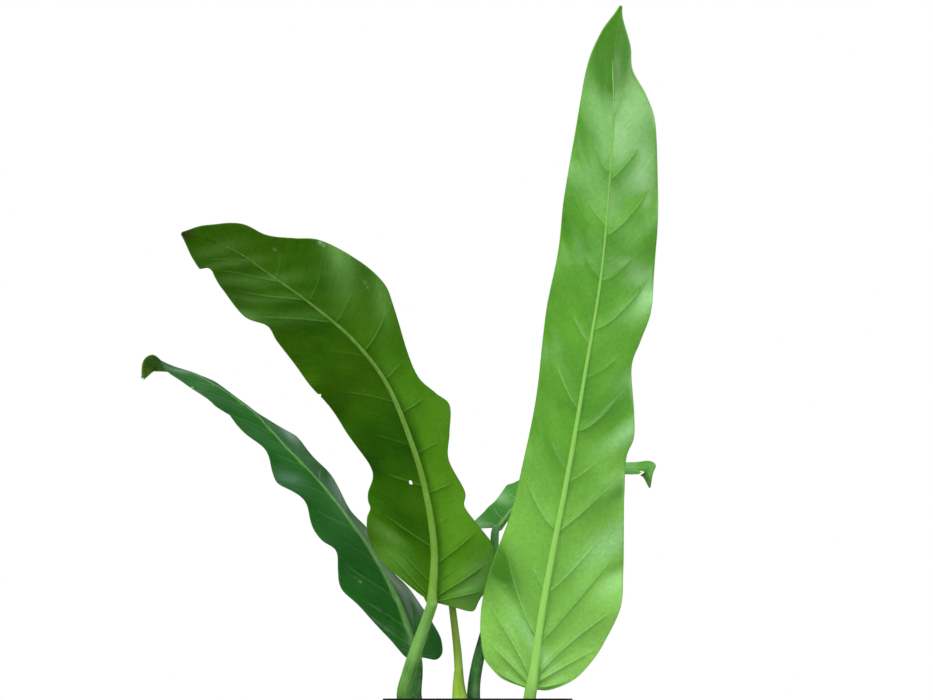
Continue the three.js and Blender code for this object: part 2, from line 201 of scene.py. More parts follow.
class NodeBench:
    # short calls for the nodes of one tree
    def __init__(self, tree):
        self.tree = tree
        self.count = 0

    def add(self, kind, inputs=None, **settings):
        node = self.tree.nodes.new(kind)
        self.count += 1
        node.location = (180 * (self.count % 12), -220 * (self.count // 12))
        for key, value in settings.items():
            setattr(node, key, value)
        for key, value in (inputs or {}).items():
            self.feed(node.inputs[key], value)
        return node

    def wire(self, kind, inputs=None, output=0, **settings):
        return Wire(self, self.add(kind, inputs, **settings).outputs[output])

    def feed(self, socket, value):
        if isinstance(value, Wire):
            self.tree.links.new(value.socket, socket)
        else:
            socket.default_value = value

    def ends(self):
        # the inputs of a group as wires, and the sockets of its outputs
        given = {output.name: Wire(self, output) for output in self.add("NodeGroupInput").outputs}
        return given, self.add("NodeGroupOutput").inputs

    def math(self, operation, first, second):
        return self.wire("ShaderNodeMath", {0: first, 1: second}, operation=operation)

    def mix(self, factor, first, second, blend="MIX"):
        return self.wire("ShaderNodeMix", {0: factor, 6: first, 7: second}, 2,
                         data_type="RGBA", blend_type=blend, clamp_factor=True)

    def layered(self, colour, layers):
        # lays tints over the colour, one after another, each as strongly as its factor says
        for factor, tint in layers:
            colour = self.mix(factor, colour, tint)
        return colour

    def ramp(self, value, low, high, start=0.0, end=1.0, shape="SMOOTHSTEP"):
        reach = {"Value": value, "From Min": low, "From Max": high, "To Min": start, "To Max": end}
        return self.wire("ShaderNodeMapRange", reach, "Result", interpolation_type=shape)

    def noise(self, vector, scale, detail=2.0, roughness=0.5):
        return self.wire("ShaderNodeTexNoise", {
            "Vector": vector, "Scale": scale, "Detail": detail, "Roughness": roughness,
        }, "Fac")

    def cells(self, vector, scale):
        # how far the nearest of many scattered points is, and a random colour that goes with it
        node = self.add("ShaderNodeTexVoronoi", {"Vector": vector, "Scale": scale})
        return Wire(self, node.outputs["Distance"]), Wire(self, node.outputs["Color"])

    def scaled(self, vector, factors):
        return self.wire("ShaderNodeVectorMath", {0: vector, 1: factors}, operation="MULTIPLY")

    def joined(self, *parts):
        return self.wire("ShaderNodeCombineXYZ", dict(enumerate(parts)))

    def split(self, vector):
        return [Wire(self, output) for output in self.add("ShaderNodeSeparateXYZ", {0: vector}).outputs]

    def attribute(self, name):
        return self.wire("ShaderNodeAttribute", None, "Fac", attribute_name=name)

    def place(self):
        return self.wire("ShaderNodeTexCoord", None, "Object")

    def flow(self):
        return self.wire("ShaderNodeUVMap", uv_map="flow")


black = (0, 0, 0, 1)


def newGroup(name, tints, values):
    # a group that takes tints and numbers, and gives a surface's colour, roughness and height
    tree = bpy.data.node_groups.new(name, "ShaderNodeTree")
    inputs = [(label, "Color", black) for label in tints]
    inputs += [(label, "Float", value) for label, value in values.items()]
    for label, kind, value in inputs:
        socket = tree.interface.new_socket(label, in_out="INPUT", socket_type="NodeSocket" + kind)
        socket.default_value = value
    for label, kind in (("Colour", "Color"), ("Roughness", "Float"), ("Height", "Float")):
        tree.interface.new_socket(label, in_out="OUTPUT", socket_type="NodeSocket" + kind)
    bench = NodeBench(tree)
    return tree, bench, *bench.ends()


def newMaterial(name, shaderValues):
    # a Principled material whose plain socket values are set, ready for its colour, roughness and bump
    material = bpy.data.materials.new(name)
    material.use_nodes = True
    shader = material.node_tree.nodes["Principled BSDF"]
    for label, value in shaderValues.items():
        shader.inputs[label].default_value = value
    return material, NodeBench(material.node_tree), shader


def dressShader(bench, shader, colour, roughness, height, bump):
    relief = bench.wire("ShaderNodeBump", {"Height": height, "Distance": bump * mm, "Strength": 1.0})
    for label, value in (("Base Color", colour), ("Roughness", roughness), ("Normal", relief)):
        bench.feed(shader.inputs[label], value)


def groupMaterial(name, group, surface, bump, shaderValues):
    # a material whose surface comes from a group, fed with tints of red, green and blue, and with numbers
    material, bench, shader = newMaterial(name, shaderValues)
    node = bench.add("ShaderNodeGroup", node_tree=group)
    for label, value in surface.items():
        node.inputs[label].default_value = srgb(*value) if isinstance(value, tuple) else value
    given = [Wire(bench, node.outputs[label]) for label in ("Colour", "Roughness", "Height")]
    dressShader(bench, shader, *given, bump)
    return material


# Leaf tissue: one group gives the colour, gloss and relief of any blade's face

paleMark = (0.62, 0.66, 0.5, 1)
darkMark = (0.006, 0.02, 0.006, 1)


def leafTissueGroup():
    tree, bench, given, out = newGroup("leafTissue", (
        "Deep", "Body", "Pale", "Base tint", "Tip tint", "Right tint", "Vein", "Rib", "Margin", "Blotch",
        "Bloom",
    ), {
        "Base reach": 0.3, "Tip start": 0.97, "Tip blend": 0.03, "Right show": 0.0, "Vein show": 0.5,
        "Furrow": 0.3, "Blotches": 0.0, "Streaks": 0.4, "Mottle": 0.4, "Gloss": 0.35, "Gloss spread": 0.1,
    })
    flow, place = bench.flow(), bench.place()
    along, across, _ = bench.split(flow)
    streaks = bench.noise(bench.scaled(flow, (230, 5, 1)), 1.0, 3.0, 0.6)
    fineStreaks = bench.noise(bench.scaled(flow, (620, 9, 1)), 1.0)
    wide, blotch = bench.noise(place, 9.0), bench.noise(place, 31.0)
    patches = bench.noise(place, 22.0, 3.0, 0.55)
    fine = bench.noise(place, 330.0, 3.0, 0.65)
    cells, _ = bench.cells(place, 1400.0)
    specks, speckColours = bench.cells(place, 95.0)
    # the shade attribute is painted light: plus for a painted sheen, minus for a painted shade; mark is a
    # real fleck
    shade, mark = bench.attribute("shade"), bench.attribute("mark")
    # the lower right half is made lighter: painted light, where that half catches more light
    litRight = bench.ramp(across, 0.5, 0.66) * bench.ramp(along, 0.3, 0.75, 1.0, 0.0)
    # how much of the painted sheen shows, broken up by the streaks and patches
    sheenBreakup = bench.ramp(streaks * 0.7 + patches * 0.5, 0.42, 0.72, 0.8, 1.0)
    rareSpecks = bench.ramp(specks, 0.045, 0.02) * bench.ramp(bench.split(speckColours)[0], 0.9, 0.92)
    colour = bench.layered(given["Deep"], [
        (bench.ramp(wide * 0.6 + patches * 0.4, 0.38, 0.62), given["Body"]),
        (bench.ramp(fineStreaks * 0.4 + streaks, 0.5, 0.95) * given["Streaks"], given["Pale"]),
        (bench.ramp(patches, 0.5, 0.75) * given["Mottle"], given["Pale"]),
        (bench.ramp(blotch, 0.54, 0.7) * given["Blotches"], given["Blotch"]),
        ((1.0 - (along / given["Base reach"]).clamped()) * 0.9, given["Base tint"]),
        (bench.ramp(along - given["Tip start"], 0.0, given["Tip blend"]), given["Tip tint"]),
        (litRight * given["Right show"], given["Right tint"]),
        # painted sheen where the shade attribute is plus, then painted shade where it is minus
        (bench.math("MAXIMUM", shade, 0.0) * sheenBreakup, given["Bloom"]),
        ((-shade).clamped(), given["Blotch"]),
        # the band beside the veins goes deeper green: painted shade in the creases, partly the tissue's own
        # deeper green
        (bench.attribute("furrow") * given["Furrow"], given["Deep"]),
        (bench.attribute("vein") * given["Vein show"], given["Vein"]),
        (bench.attribute("rib"), given["Rib"]),
        (bench.attribute("margin"), given["Margin"]),
        (rareSpecks * 0.55, given["Margin"]),
        (bench.math("MAXIMUM", mark, 0.0), paleMark),
        ((-mark).clamped(), darkMark),
    ])
    grain = bench.ramp(cells * 0.35 + fine, 0.35, 0.85, 0.86, 1.12, "LINEAR")
    rough = (patches - 0.5) * given["Gloss spread"] + given["Gloss"] + (fineStreaks - 0.5) * 0.08
    bench.feed(out["Colour"], bench.mix(1.0, colour, bench.joined(grain, grain, grain), "MULTIPLY"))
    bench.feed(out["Roughness"], bench.math("MAXIMUM", rough, 0.12))
    bench.feed(out["Height"], streaks * 0.4 + fineStreaks * 0.2 + fine * 0.35 + cells * 0.15)
    return tree


leafTissue = leafTissueGroup()


def leafMaterial(name, look):
    return groupMaterial(name, leafTissue, look["surface"], bladeSettings["bump"], {
        "Specular IOR Level": look["specular"], "Coat Weight": look["coat"],
        "Coat Roughness": look["coatRoughness"], "Coat IOR": 1.42,
    })


# Blades. A rib row is x, y, z, then the roll of the blade about its midrib and the folds of its left and
# its right half, in degrees. An outline point is a distance along the midrib and one out from it. A vein is
# where it starts and where it ends, as shares of the midrib's and the margin's length, how much it curves,
# how strong it is, and how far out it can be seen. A sheen and shade patch is painted light, a soft patch
# that runs with the veins: where it is, its half length and half width, and how strong it is; plus paints a
# sheen, minus paints a shade, in places partly a darker tissue. A mark is a small fleck: where it is, its
# size and its strength. A nick is the side, where it is, how deep and half how long.

bladeSettings = {
    "rows": 400, "rowsPerVein": 7, "veinSpread": 0.0022,
    "columns": 44, "columnsPerEdge": 2.2, "edgeSpread": 0.06, "step": 0.5, "tangentReach": 2.0,
    "thickness": 0.56, "marginThickness": 0.22, "thinReach": 1.6, "waveEnd": 0.02,
    "creaseWidth": 5.5, "creaseTop": 0.5, "weakCrease": 0.75, "creaseStart": 0.12, "creaseEnd": 0.6,
    "fan": (0.1, 0.35), "veinPoints": 22, "veinEnd": 0.7, "veinWidth": 0.55, "veinHeight": 0.3,
    "upperVein": 0.4, "furrowWidth": 2.0, "flareReach": 12, "nearRib": 1.1, "calmRib": 0.7, "ribDip": 0.36,
    "ribEdge": 0.55, "ribEnd": (0.9, 0.99), "tipCalm": 0.93, "paleMargin": (0.1, 0.75),
    "rippleHeight": 0.35 / 3, "ripplesAlong": (31, 53, 84), "ripplesOut": (3.1, -5.2, 7.0),
    # the slant of the painted sheen and shade patches, and how strongly they show on the other face
    "shadeSlant": 0.75, "otherShade": 0.3, "bump": 0.1,
}

tallLeaf = {
    "name": "tallLeaf", "node": "tall_leaf", "under": 1, "ribShow": 1.0,
    "rib": [
        (39, -26, 127, 6, -8, -8), (49, -36, 195, 6, -9, -9), (66, -52, 284, 4, -9, -9),
        (78, -66, 354, 2, -9, -9), (89, -80, 421, 0, -9, -9), (95, -92, 487, -2, -9, -9),
        (98, -100, 541, -4, -9, -9), (98, -103, 579, -4, -4, -4), (104, -104, 617, -2, -1, -1),
    ],
    "left": [
        (0, 5), (3, 21), (9, 31), (18, 39), (38, 44.5), (59, 46), (86, 42.5), (123, 36.5), (168, 34),
        (217, 33), (274, 36), (322, 33), (361, 32), (407, 27), (445, 21.5), (480, 11), (495, 4),
        (502, 1),
    ],
    "right": [
        (0, 4), (1, 13), (10, 29), (24, 40), (41, 48), (69, 56), (95, 53), (125, 48), (153, 43),
        (177, 40), (192, 43), (211, 40), (242, 33), (262, 36), (283, 40), (308, 39), (343, 38),
        (376, 36), (416, 32), (435, 25), (454, 15), (473, 12), (493, 3), (502, 1),
    ],
    "wave": {"left": 5, "right": 5, "length": 72, "leftPhase": 0.4, "rightPhase": 2.2, "halfWidth": 50},
    "petiole": {
        "path": [(36, -17.5, 102.5), (36.6, -23, 110.5)],
        "baseRadius": 5.6, "topRadius": 4.6, "flatFrom": 0.4,
    },
    "midrib": {
        "baseRadius": 2.95, "tipRadius": 0.4, "flare": 1.5, "taper": 1.7, "end": 0.95, "clearance": 0.35,
    },
    "leftVeins": [
        (0.002, 0.068, 1.9, 0.8, 0.85), (0.004, 0.106, 0.95, 0.9, 0.85), (0.006, 0.158, 0.8, 1, 0.88),
        (0.075, 0.241, 1.27, 0.9, 0.92), (0.144, 0.29, 1.3, 0.5, 0.4), (0.234, 0.34, 1.5, 1, 0.88),
        (0.32, 0.44, 1.35, 0.35, 0.6), (0.411, 0.538, 1.3, 0.8, 0.65), (0.506, 0.61, 1.2, 0.5, 0.5),
        (0.603, 0.699, 1.25, 0.5, 0.45), (0.68, 0.77, 1.35, 0.3, 0.5), (0.756, 0.852, 1.5, 0.6, 0.5),
        (0.86, 0.93, 1.3, 0.2, 0.5),
    ],
    "rightVeins": [
        (0.003, 0.072, 1.8, 0.8, 0.8), (0.005, 0.114, 0.95, 1, 0.95), (0.008, 0.178, 0.8, 1, 0.95),
        (0.066, 0.263, 1.15, 1, 0.95), (0.14, 0.315, 1.3, 0.7, 0.75), (0.231, 0.362, 1.15, 1, 0.85),
        (0.304, 0.425, 1.3, 0.5, 0.5), (0.38, 0.49, 1.75, 1, 0.9), (0.459, 0.575, 1.65, 0.4, 0.6),
        (0.528, 0.638, 1.48, 1, 0.93), (0.6, 0.698, 1.6, 0.5, 0.6), (0.665, 0.758, 1.35, 1, 0.88),
        (0.746, 0.829, 1.2, 0.8, 0.65), (0.84, 0.9, 1.2, 0.3, 0.6),
    ],
    "crease": 1.7, "fanCrease": 2.0, "seed": 3,
    "marks": [(70, -31, 0.8, 0.4), (72, -28, 0.7, 0.3), (70, -24, 0.6, 0.25), (263, 35.5, 0.9, 0.25)],
    "shades": [
        (412, 6, 44, 22, 0.45), (430, -15, 22, 10, 0.25), (402, -34, 20, 7, -0.7),
        (404, -22, 14, 8, -0.6), (360, -6, 60, 9, 0.2), (452, 7, 16, 7, -0.5), (387, 28, 24, 9, 0.3),
        (325, 31, 24, 7, -0.3), (345, 33, 16, 5, 0.3), (294, 40, 22, 7, 0.9), (222, 33, 24, 9, -0.6),
        (197, 39, 22, 7, 1), (153, 40, 20, 8, -0.9), (118, 43, 26, 10, 1), (97, 46, 12, 5, -0.5),
        (84, 47, 14, 6, 0.5), (82, -43, 24, 17, -1), (84, -36, 30, 8, -0.55), (38, -8, 42, 5, 0.7),
        (335, -28, 30, 8, -0.4), (246, -21, 60, 11, -0.35), (180, -22, 44, 10, -0.45),
    ],
}
archingLeaf = {
    "name": "archingLeaf", "node": "arching_leaf", "under": 1, "ribShow": 1.0,
    "rib": [
        (-34, -14, 190, -6, -8, -8), (-32, -20, 228, 0, -8, -14), (-38, -30, 270, 8, -8, -34),
        (-49, -42, 307, 12, -8, -40), (-66, -56, 346, 12, -8, -34), (-89, -70, 375, 12, -8, -14),
        (-117, -84, 398, 16, -8, -8), (-144, -98, 416, 22, -8, -8), (-170, -114, 432, 30, -8, -8),
        (-192, -130, 439, 36, -6, -6), (-206, -148, 439, 40, -4, -4),
    ],
    "left": [
        (0, 4), (8, 9), (11.5, 16), (16, 25), (26, 38), (42, 46), (56, 49), (69.5, 47.4), (77, 43.8),
        (83, 44.6), (90, 43.5), (105, 37), (131, 41), (150, 45), (168, 48), (190, 47), (220, 45),
        (249, 39), (265, 33), (282, 38), (305, 33), (317, 27.2), (325.5, 22), (331.5, 22.3),
        (334.3, 24.4), (350, 13), (367, 1),
    ],
    "right": [
        (0, 4), (-1.6, 13.5), (-3.6, 19), (-5.8, 28.5), (-4.8, 33), (2.5, 36), (7, 38.4), (13, 45),
        (21, 45.5), (34, 46.3), (40, 44.2), (50, 37), (65, 28), (75, 31), (98, 25), (115, 33), (133, 41),
        (145, 33), (160, 25), (180, 28), (205, 38), (220, 45), (247, 46), (272, 41), (290, 31),
        (308, 22), (325, 20), (345, 11), (367, 1),
    ],
    "wave": {"left": 6, "right": 4, "length": 66, "leftPhase": 1.0, "rightPhase": 2.6, "halfWidth": 46},
    "petiole": {
        "path": [(-50, -2, 104), (-54, -8, 122), (-50.3, -10, 139), (-45, -11, 156), (-39, -12, 173)],
        "baseRadius": 6, "topRadius": 4.1, "lead": 2, "flatFrom": 0.86,
    },
    "midrib": {
        "baseRadius": 3.0, "tipRadius": 0.4, "flare": 1.1, "taper": 1.3, "end": 0.94, "clearance": 0.35,
    },
    "leftVeins": [
        (0.002, 0.07, 1.2, 0.5, 0.8), (0.006, 0.13, 1.15, 0.5, 0.8), (0.015, 0.19, 1.35, 0.9, 0.8),
        (0.04, 0.217, 1.3, 0.6, 0.55), (0.111, 0.252, 1.2, 0.8, 0.8), (0.234, 0.318, 0.9, 0.7, 0.75),
        (0.324, 0.425, 1.1, 0.4, 0.6), (0.417, 0.534, 1.07, 0.6, 0.75), (0.528, 0.665, 1.1, 0.3, 0.5),
        (0.626, 0.765, 1, 0.9, 0.95), (0.694, 0.82, 0.9, 0.9, 0.88), (0.762, 0.87, 1, 0.9, 0.95),
        (0.828, 0.92, 0.9, 0.6, 0.85),
    ],
    "rightVeins": [
        (0.002, 0.121, 1.2, 1, 0.9), (0.006, 0.167, 0.92, 1, 0.92), (0.035, 0.19, 0.9, 0.4, 0.45),
        (0.074, 0.211, 0.85, 1, 0.92), (0.152, 0.255, 1, 0.35, 0.5), (0.222, 0.296, 1.1, 1, 0.85),
        (0.305, 0.373, 1.25, 0.7, 0.72), (0.393, 0.46, 1.3, 1, 0.75), (0.469, 0.53, 1.35, 0.6, 0.8),
        (0.54, 0.623, 1.6, 1, 0.8), (0.62, 0.685, 1.45, 0.5, 0.6), (0.69, 0.75, 1.5, 0.6, 0.6),
        (0.77, 0.83, 1.3, 0.4, 0.6),
    ],
    "crease": 1.5, "fanCrease": 2.2, "seed": 7,
    "hole": {"along": 91.2, "out": -9.6, "halfLength": 2.0, "halfWidth": 1.3},
    "nicks": [(0, 190.2, 1.8, 1.3)],
    "marks": [(271.7, 39.5, 1.3, 0.5), (268, 39.5, 0.9, 0.35), (229.4, 36.4, 1.0, 0.35), (226, 35, 0.8, 0.3),
              (296, 16.7, 0.9, 0.3)],
    "shades": [
        (332, -6, 20, 6, 0.35), (316, -10, 24, 4, 0.45), (292, -10, 30, 5, 0.5), (277, -16, 28, 4, 0.4),
        (256, -18, 28, 5, 0.4), (256, 42, 28, 10, 0.95), (218, 39, 22, 6, 0.5), (139, -29, 40, 12, -0.6),
        (106, -34, 24, 9, -0.6), (64, -20, 26, 10, -0.65), (54, -33, 16, 6, 0.6), (32, -30, 16, 7, 0.4),
        (3, 27, 18, 14, 0.6), (22, 36, 20, 9, 0.8), (280, -36, 10, 5, 0.7),
    ],
}
sideLeaf = {
    "name": "sideLeaf", "node": "side_leaf", "under": -1, "ribShow": 1.9,
    "rib": [
        (-44, 22, 151, -31, -14, -14), (-57, 30, 188, -48, -20, -17), (-75, 42, 223, -61, -20, -20),
        (-98, 56, 257, -65, -18, -17), (-124, 70, 289, -66, -16, -13), (-151, 84, 317, -67, -13, -4),
        (-177, 98, 345, -66, -10, -15), (-203, 110, 365, -72, -13, -15), (-227, 119, 379, -74, -16, -8),
        (-244, 124, 386, -84, -14, -6), (-257, 126, 390, -112, -12, -12),
        (-265, 125, 388, -140, -10, -10), (-270, 121, 377, -150, -6, -6),
    ],
    "left": [
        (0, 4), (2.5, 10), (19, 18), (39, 29.4), (63, 39.7), (83, 38.6), (98, 35), (108, 40), (120, 37),
        (134, 34), (150, 31.8), (168, 38.6), (189, 32), (208, 25.5), (223, 30.5), (240, 28), (257, 26.4),
        (263, 32), (268, 33.5), (282, 29), (301, 23), (331, 21), (345, 14.5), (358, 8), (371, 1),
    ],
    "right": [
        (0, 4), (-4, 15), (-1, 23), (7, 29), (20, 34), (45, 37), (80, 38), (200, 38), (224, 40),
        (233, 42), (243, 38.5), (258, 34), (280, 32), (304, 27), (318, 29.5), (327, 27), (335, 19),
        (345, 12), (358, 6), (371, 1),
    ],
    "wave": {
        "left": 3.5, "right": 1.7, "length": 57, "leftPhase": -3.04, "rightPhase": 0.92, "halfWidth": 38,
    },
    "petiole": {
        "path": [(-40, 8, 104), (-46, 13, 120), (-45, 17, 138)],
        "baseRadius": 5.4, "topRadius": 3.8, "lead": 2, "flatFrom": 0.82,
    },
    "midrib": {
        "baseRadius": 2.6, "tipRadius": 0.6, "flare": 0.6, "taper": 1.2, "end": 0.86, "clearance": 0.55,
    },
    "leftVeins": [
        (0.002, 0.05, 1.2, 0.5, 0.8), (0.02, 0.13, 1.15, 0.7, 0.85), (0.06, 0.19, 1, 0.8, 0.85),
        (0.115, 0.261, 0.8, 1, 0.93), (0.205, 0.335, 0.75, 0.5, 0.7), (0.293, 0.402, 0.75, 1, 0.85),
        (0.4, 0.49, 0.8, 0.5, 0.6), (0.498, 0.57, 0.85, 1, 0.8), (0.55, 0.645, 0.95, 0.4, 0.6),
        (0.611, 0.726, 1.09, 1, 0.85), (0.665, 0.765, 1.2, 0.4, 0.6), (0.715, 0.801, 1.3, 1, 0.88),
        (0.8, 0.88, 1.2, 0.5, 0.7),
    ],
    "rightVeins": [
        (0.003, 0.05, 1.2, 0.6, 0.8), (0.008, 0.13, 1.2, 0.9, 0.85), (0.03, 0.24, 0.95, 1, 0.6),
        (0.2, 0.34, 1.1, 0.5, 0.6), (0.363, 0.441, 1.2, 1, 0.85), (0.455, 0.54, 1.2, 1, 0.85),
        (0.54, 0.62, 1.2, 0.4, 0.6), (0.628, 0.709, 1.2, 1, 0.85), (0.75, 0.82, 1.2, 0.7, 0.7),
    ],
    "crease": 1.1, "fanCrease": 1.4, "seed": 11,
    "marks": [
        (69, -23.8, 0.9, 0.5), (73, -26, 0.7, 0.25), (39.6, -15.9, 1.2, -0.8), (34.8, -13.3, 1.2, -0.8),
        (37, -16.5, 1.0, -0.6), (302, -21.6, 1.0, 0.5),
    ],
    "shades": [
        (178, -24, 12, 8, 0.4), (326, -6, 18, 4, 0.6), (232, 32, 18, 8, 1), (170, 33, 40, 9, 0.5),
        (40, 22, 30, 5, 0.3), (110, -33, 26, 10, -0.5), (60, -30, 24, 10, -0.3), (60, 20, 32, 11, -0.75),
        (186, 28, 12, 6, -0.4), (326, 16, 20, 5, 0.7),
    ],
}
backLeaf = {
    "name": "backLeaf", "node": "back_leaf", "under": -1, "ribShow": 1.3,
    "rib": [
        (16, 40, 250.5, 58, 15, 15), (30, 66, 268, 66, 13, 13), (55, 104, 287.5, 70, 10, 10),
        (84, 146, 302, 74, 8, 8), (110, 184, 308, 74, 6, -8), (128, 210, 313.5, 70, 4, -12),
        (139, 224, 314.5, 50, 0, 0), (146, 230, 314, 10, -4, -4), (148.5, 232, 308, -6, -4, -4),
        (148.2, 233, 297.7, -8, -4, -4),
    ],
    "left": [
        (0, 4), (-4, 13), (-1, 21), (8, 25), (18, 25.5), (32, 25), (50, 26.5), (70, 31), (95, 38),
        (140, 37), (180, 24), (205, 14), (220, 10.5), (233, 8.5), (240, 6.5), (244.3, 8.4), (246.5, 4.8),
        (250, 2.3), (259, 1),
    ],
    "right": [
        (0, 4), (-4, 13), (0, 21), (14, 29), (45, 36), (90, 40), (140, 37), (180, 27), (198, 22),
        (212, 16), (224, 8), (232, 6), (243, 8), (248, 6.5), (252, 5), (259, 1),
    ],
    "wave": {"left": 2, "right": 3, "length": 60, "leftPhase": 0.6, "rightPhase": 2.0, "halfWidth": 40},
    "petiole": {
        "path": [(-1, 8, 105), (-3, 15, 122), (0, 20, 146), (12, 29.5, 195)],
        "baseRadius": 5, "topRadius": 3.2,
    },
    "midrib": {
        "baseRadius": 2.2, "tipRadius": 0.6, "flare": 0.5, "taper": 1.2, "end": 0.84, "clearance": 0.35,
    },
    "leftVeins": [
        (0.002, 0.07, 1.05, 0.7, 0.8), (0.005, 0.13, 1.1, 0.9, 0.85), (0.049, 0.22, 1.2, 1, 0.85),
        (0.19, 0.32, 1.35, 1, 0.85), (0.26, 0.38, 1.4, 0.4, 0.6), (0.33, 0.45, 1.4, 1, 0.85),
        (0.446, 0.56, 1.4, 1, 0.85), (0.573, 0.67, 1.4, 0.9, 0.85), (0.708, 0.78, 1.4, 0.8, 0.85),
        (0.81, 0.86, 1.4, 0.5, 0.7),
    ],
    "rightVeins": [
        (0.002, 0.06, 1.05, 0.7, 0.8), (0.004, 0.12, 1.1, 0.9, 0.85), (0.035, 0.2, 1.2, 1, 0.85),
        (0.165, 0.3, 1.35, 1, 0.85), (0.29, 0.41, 1.4, 1, 0.85), (0.352, 0.47, 1.4, 0.4, 0.6),
        (0.414, 0.53, 1.4, 1, 0.85), (0.538, 0.64, 1.4, 0.9, 0.85), (0.66, 0.74, 1.4, 0.9, 0.85),
        (0.772, 0.83, 1.4, 0.6, 0.8),
    ],
    "crease": 1.1, "fanCrease": 1.4, "seed": 19,
    "shades": [(94, -34, 22, 8, -0.25), (18, -6, 20, 10, -0.3), (54, -24, 22, 6, 0.75), (2, -18, 16, 9, 0.8),
               (226, -8, 16, 10, 0.5)],
}

def measureLeaf(leaf):
    leaf["ribCurve"] = measuredCurve(leaf["rib"], 3)
    leaf["length"] = leaf["ribCurve"]["reach"][-1]
    leaf["margins"] = [measuredCurve(leaf[side], 2) for side in ("left", "right")]
    leaf["courses"] = []
    for veins in (leaf["leftVeins"], leaf["rightVeins"]):
        starts, ends, bends = np.array(veins)[:, :3].T
        leaf["courses"].append((np.hstack([0, starts, 1]), np.hstack([0, ends, 1]),
                                np.hstack([bends[0], bends, bends[-1]])))
    for side, at, depth, halfLength in leaf.get("nicks", []):
        along, out = leaf["margins"][side]["table"].T
        out -= depth * bell((along - at) / halfLength)


def ribFrame(leaf, along):
    # at a distance along the midrib: its place and direction, the blade's side and face, and its folds
    curve, length, reach = leaf["ribCurve"], leaf["length"], bladeSettings["tangentReach"]
    within = np.clip(along, 0, length)
    row = curveAt(curve, within)
    ahead, behind = (curveAt(curve, np.clip(within + d, 0, length)) for d in (reach, -reach))
    forward = unit(ahead[..., :3] - behind[..., :3])
    flat = unit(np.stack([forward[..., 2], 0 * forward[..., 0], -forward[..., 0]], -1))
    facing = np.cross(flat, forward)
    roll = np.radians(row[..., 3])[..., None]
    side = flat * np.cos(roll) + facing * np.sin(roll)
    face = facing * np.cos(roll) - flat * np.sin(roll)
    point = row[..., :3] + forward * (along - within)[..., None]
    return point, forward, side, face, np.radians(row[..., 4:6])


def bladePoint(leaf, along, out):
    point, _, side, face, folds = ribFrame(leaf, along)
    wave, waveEnd = leaf["wave"], bladeSettings["waveEnd"]
    left = out < 0
    fold = np.where(left, folds[..., 0], folds[..., 1])
    fade = np.sqrt(np.sin(np.pi * np.clip(along / leaf["length"], waveEnd, 1 - waveEnd)))
    phase = fullTurn * along / wave["length"] + np.where(left, wave["leftPhase"], wave["rightPhase"])
    height = np.where(left, wave["left"], wave["right"]) * fade * np.sin(phase)
    lift = np.abs(out) * np.sin(fold) + height * (out / wave["halfWidth"]) ** 2
    return point + side * (out * np.cos(fold))[..., None] + face * lift[..., None]


def bladeNormal(leaf, along, out):
    step = bladeSettings["step"]
    on = np.where(out < 0, -step, step)
    across = (bladePoint(leaf, along, out + on) - bladePoint(leaf, along, out)) / on[..., None]
    forward = bladePoint(leaf, along + step, out) - bladePoint(leaf, along - step, out)
    return unit(np.cross(across, forward))


def veinLine(leaf, sideIndex, q, s):
    # a point on the line that leaves the midrib and meets the margin at q, s being how far out it is
    q, s = np.broadcast_arrays(np.asarray(q, float), np.asarray(s, float))
    margin = leaf["margins"][sideIndex]
    edge = curveAt(margin, q * margin["reach"][-1])
    starts, ends, bends = leaf["courses"][sideIndex]
    start = leaf["length"] * np.interp(q, ends, starts)
    along = start + (edge[..., 0] - start) * s ** np.interp(q, ends, bends)
    return along, edge[..., 1] * s * (1 if sideIndex else -1)


def crowded(count, spots, extra, spread, samples=6001):
    # fractions from 0 to 1, closer together round the spots
    fine = np.linspace(0, 1, samples)
    density = 1 + extra * sum(bell((fine - spot) / spread) for spot in spots)
    total = np.concatenate([[0], np.cumsum((density[1:] + density[:-1]) / 2)])
    return np.interp(np.linspace(0, 1, count), total / total[-1], fine)


def distanceToLine(points, line):
    # the shortest way from each point to a row of segments, and where along the row it ends, from 0 to 1
    best = np.full(len(points), np.inf)
    place = np.zeros(len(points))
    for i, (a, b) in enumerate(zip(line[:-1], line[1:])):
        step = b - a
        t = np.clip((points - a) @ step / max(step @ step, 1e-9), 0, 1)
        gap = np.linalg.norm(points - (a + t[:, None] * step), axis=1)
        nearer = gap < best
        best[nearer] = gap[nearer]
        place[nearer] = (i + t[nearer]) / (len(line) - 1)
    return best, place


def veinRelief(leaf, sideIndex, along, out):
    # how far the veins crease the blade, and how strongly each point is a vein or lies beside one
    settings = bladeSettings
    points = np.stack([along.ravel(), out.ravel()], -1)
    crease, vein, furrow = np.zeros((3, len(points)))
    for _, q, _, strength, reach in leaf[("leftVeins", "rightVeins")[sideIndex]]:
        course = veinLine(leaf, sideIndex, q, np.linspace(0, reach, settings["veinPoints"]))
        gap, place = distanceToLine(points, np.stack(course, -1))
        fade = smoothstep(0, settings["creaseStart"], place)
        fade = fade * (1 - smoothstep(settings["creaseEnd"], 1.0, place))
        depth = between(leaf["fanCrease"], leaf["crease"], smoothstep(*settings["fan"], q))
        width = settings["creaseWidth"] * between(settings["weakCrease"], 1, strength)
        fold = np.exp(-np.hypot(gap, settings["creaseTop"]) / width)
        crease = np.maximum(crease, depth * strength * fade * fold)
        shown = strength * (1 - smoothstep(settings["veinEnd"], 1.0, place))
        vein = np.maximum(vein, shown * bell(gap / settings["veinWidth"]))
        # the band beside each vein that the colour darkens: painted shade in the creases by the veins,
        # partly a deeper green tissue
        furrow = np.maximum(furrow, shown * bell(gap / settings["furrowWidth"]))
    return (values.reshape(along.shape) for values in (crease, vein, furrow))


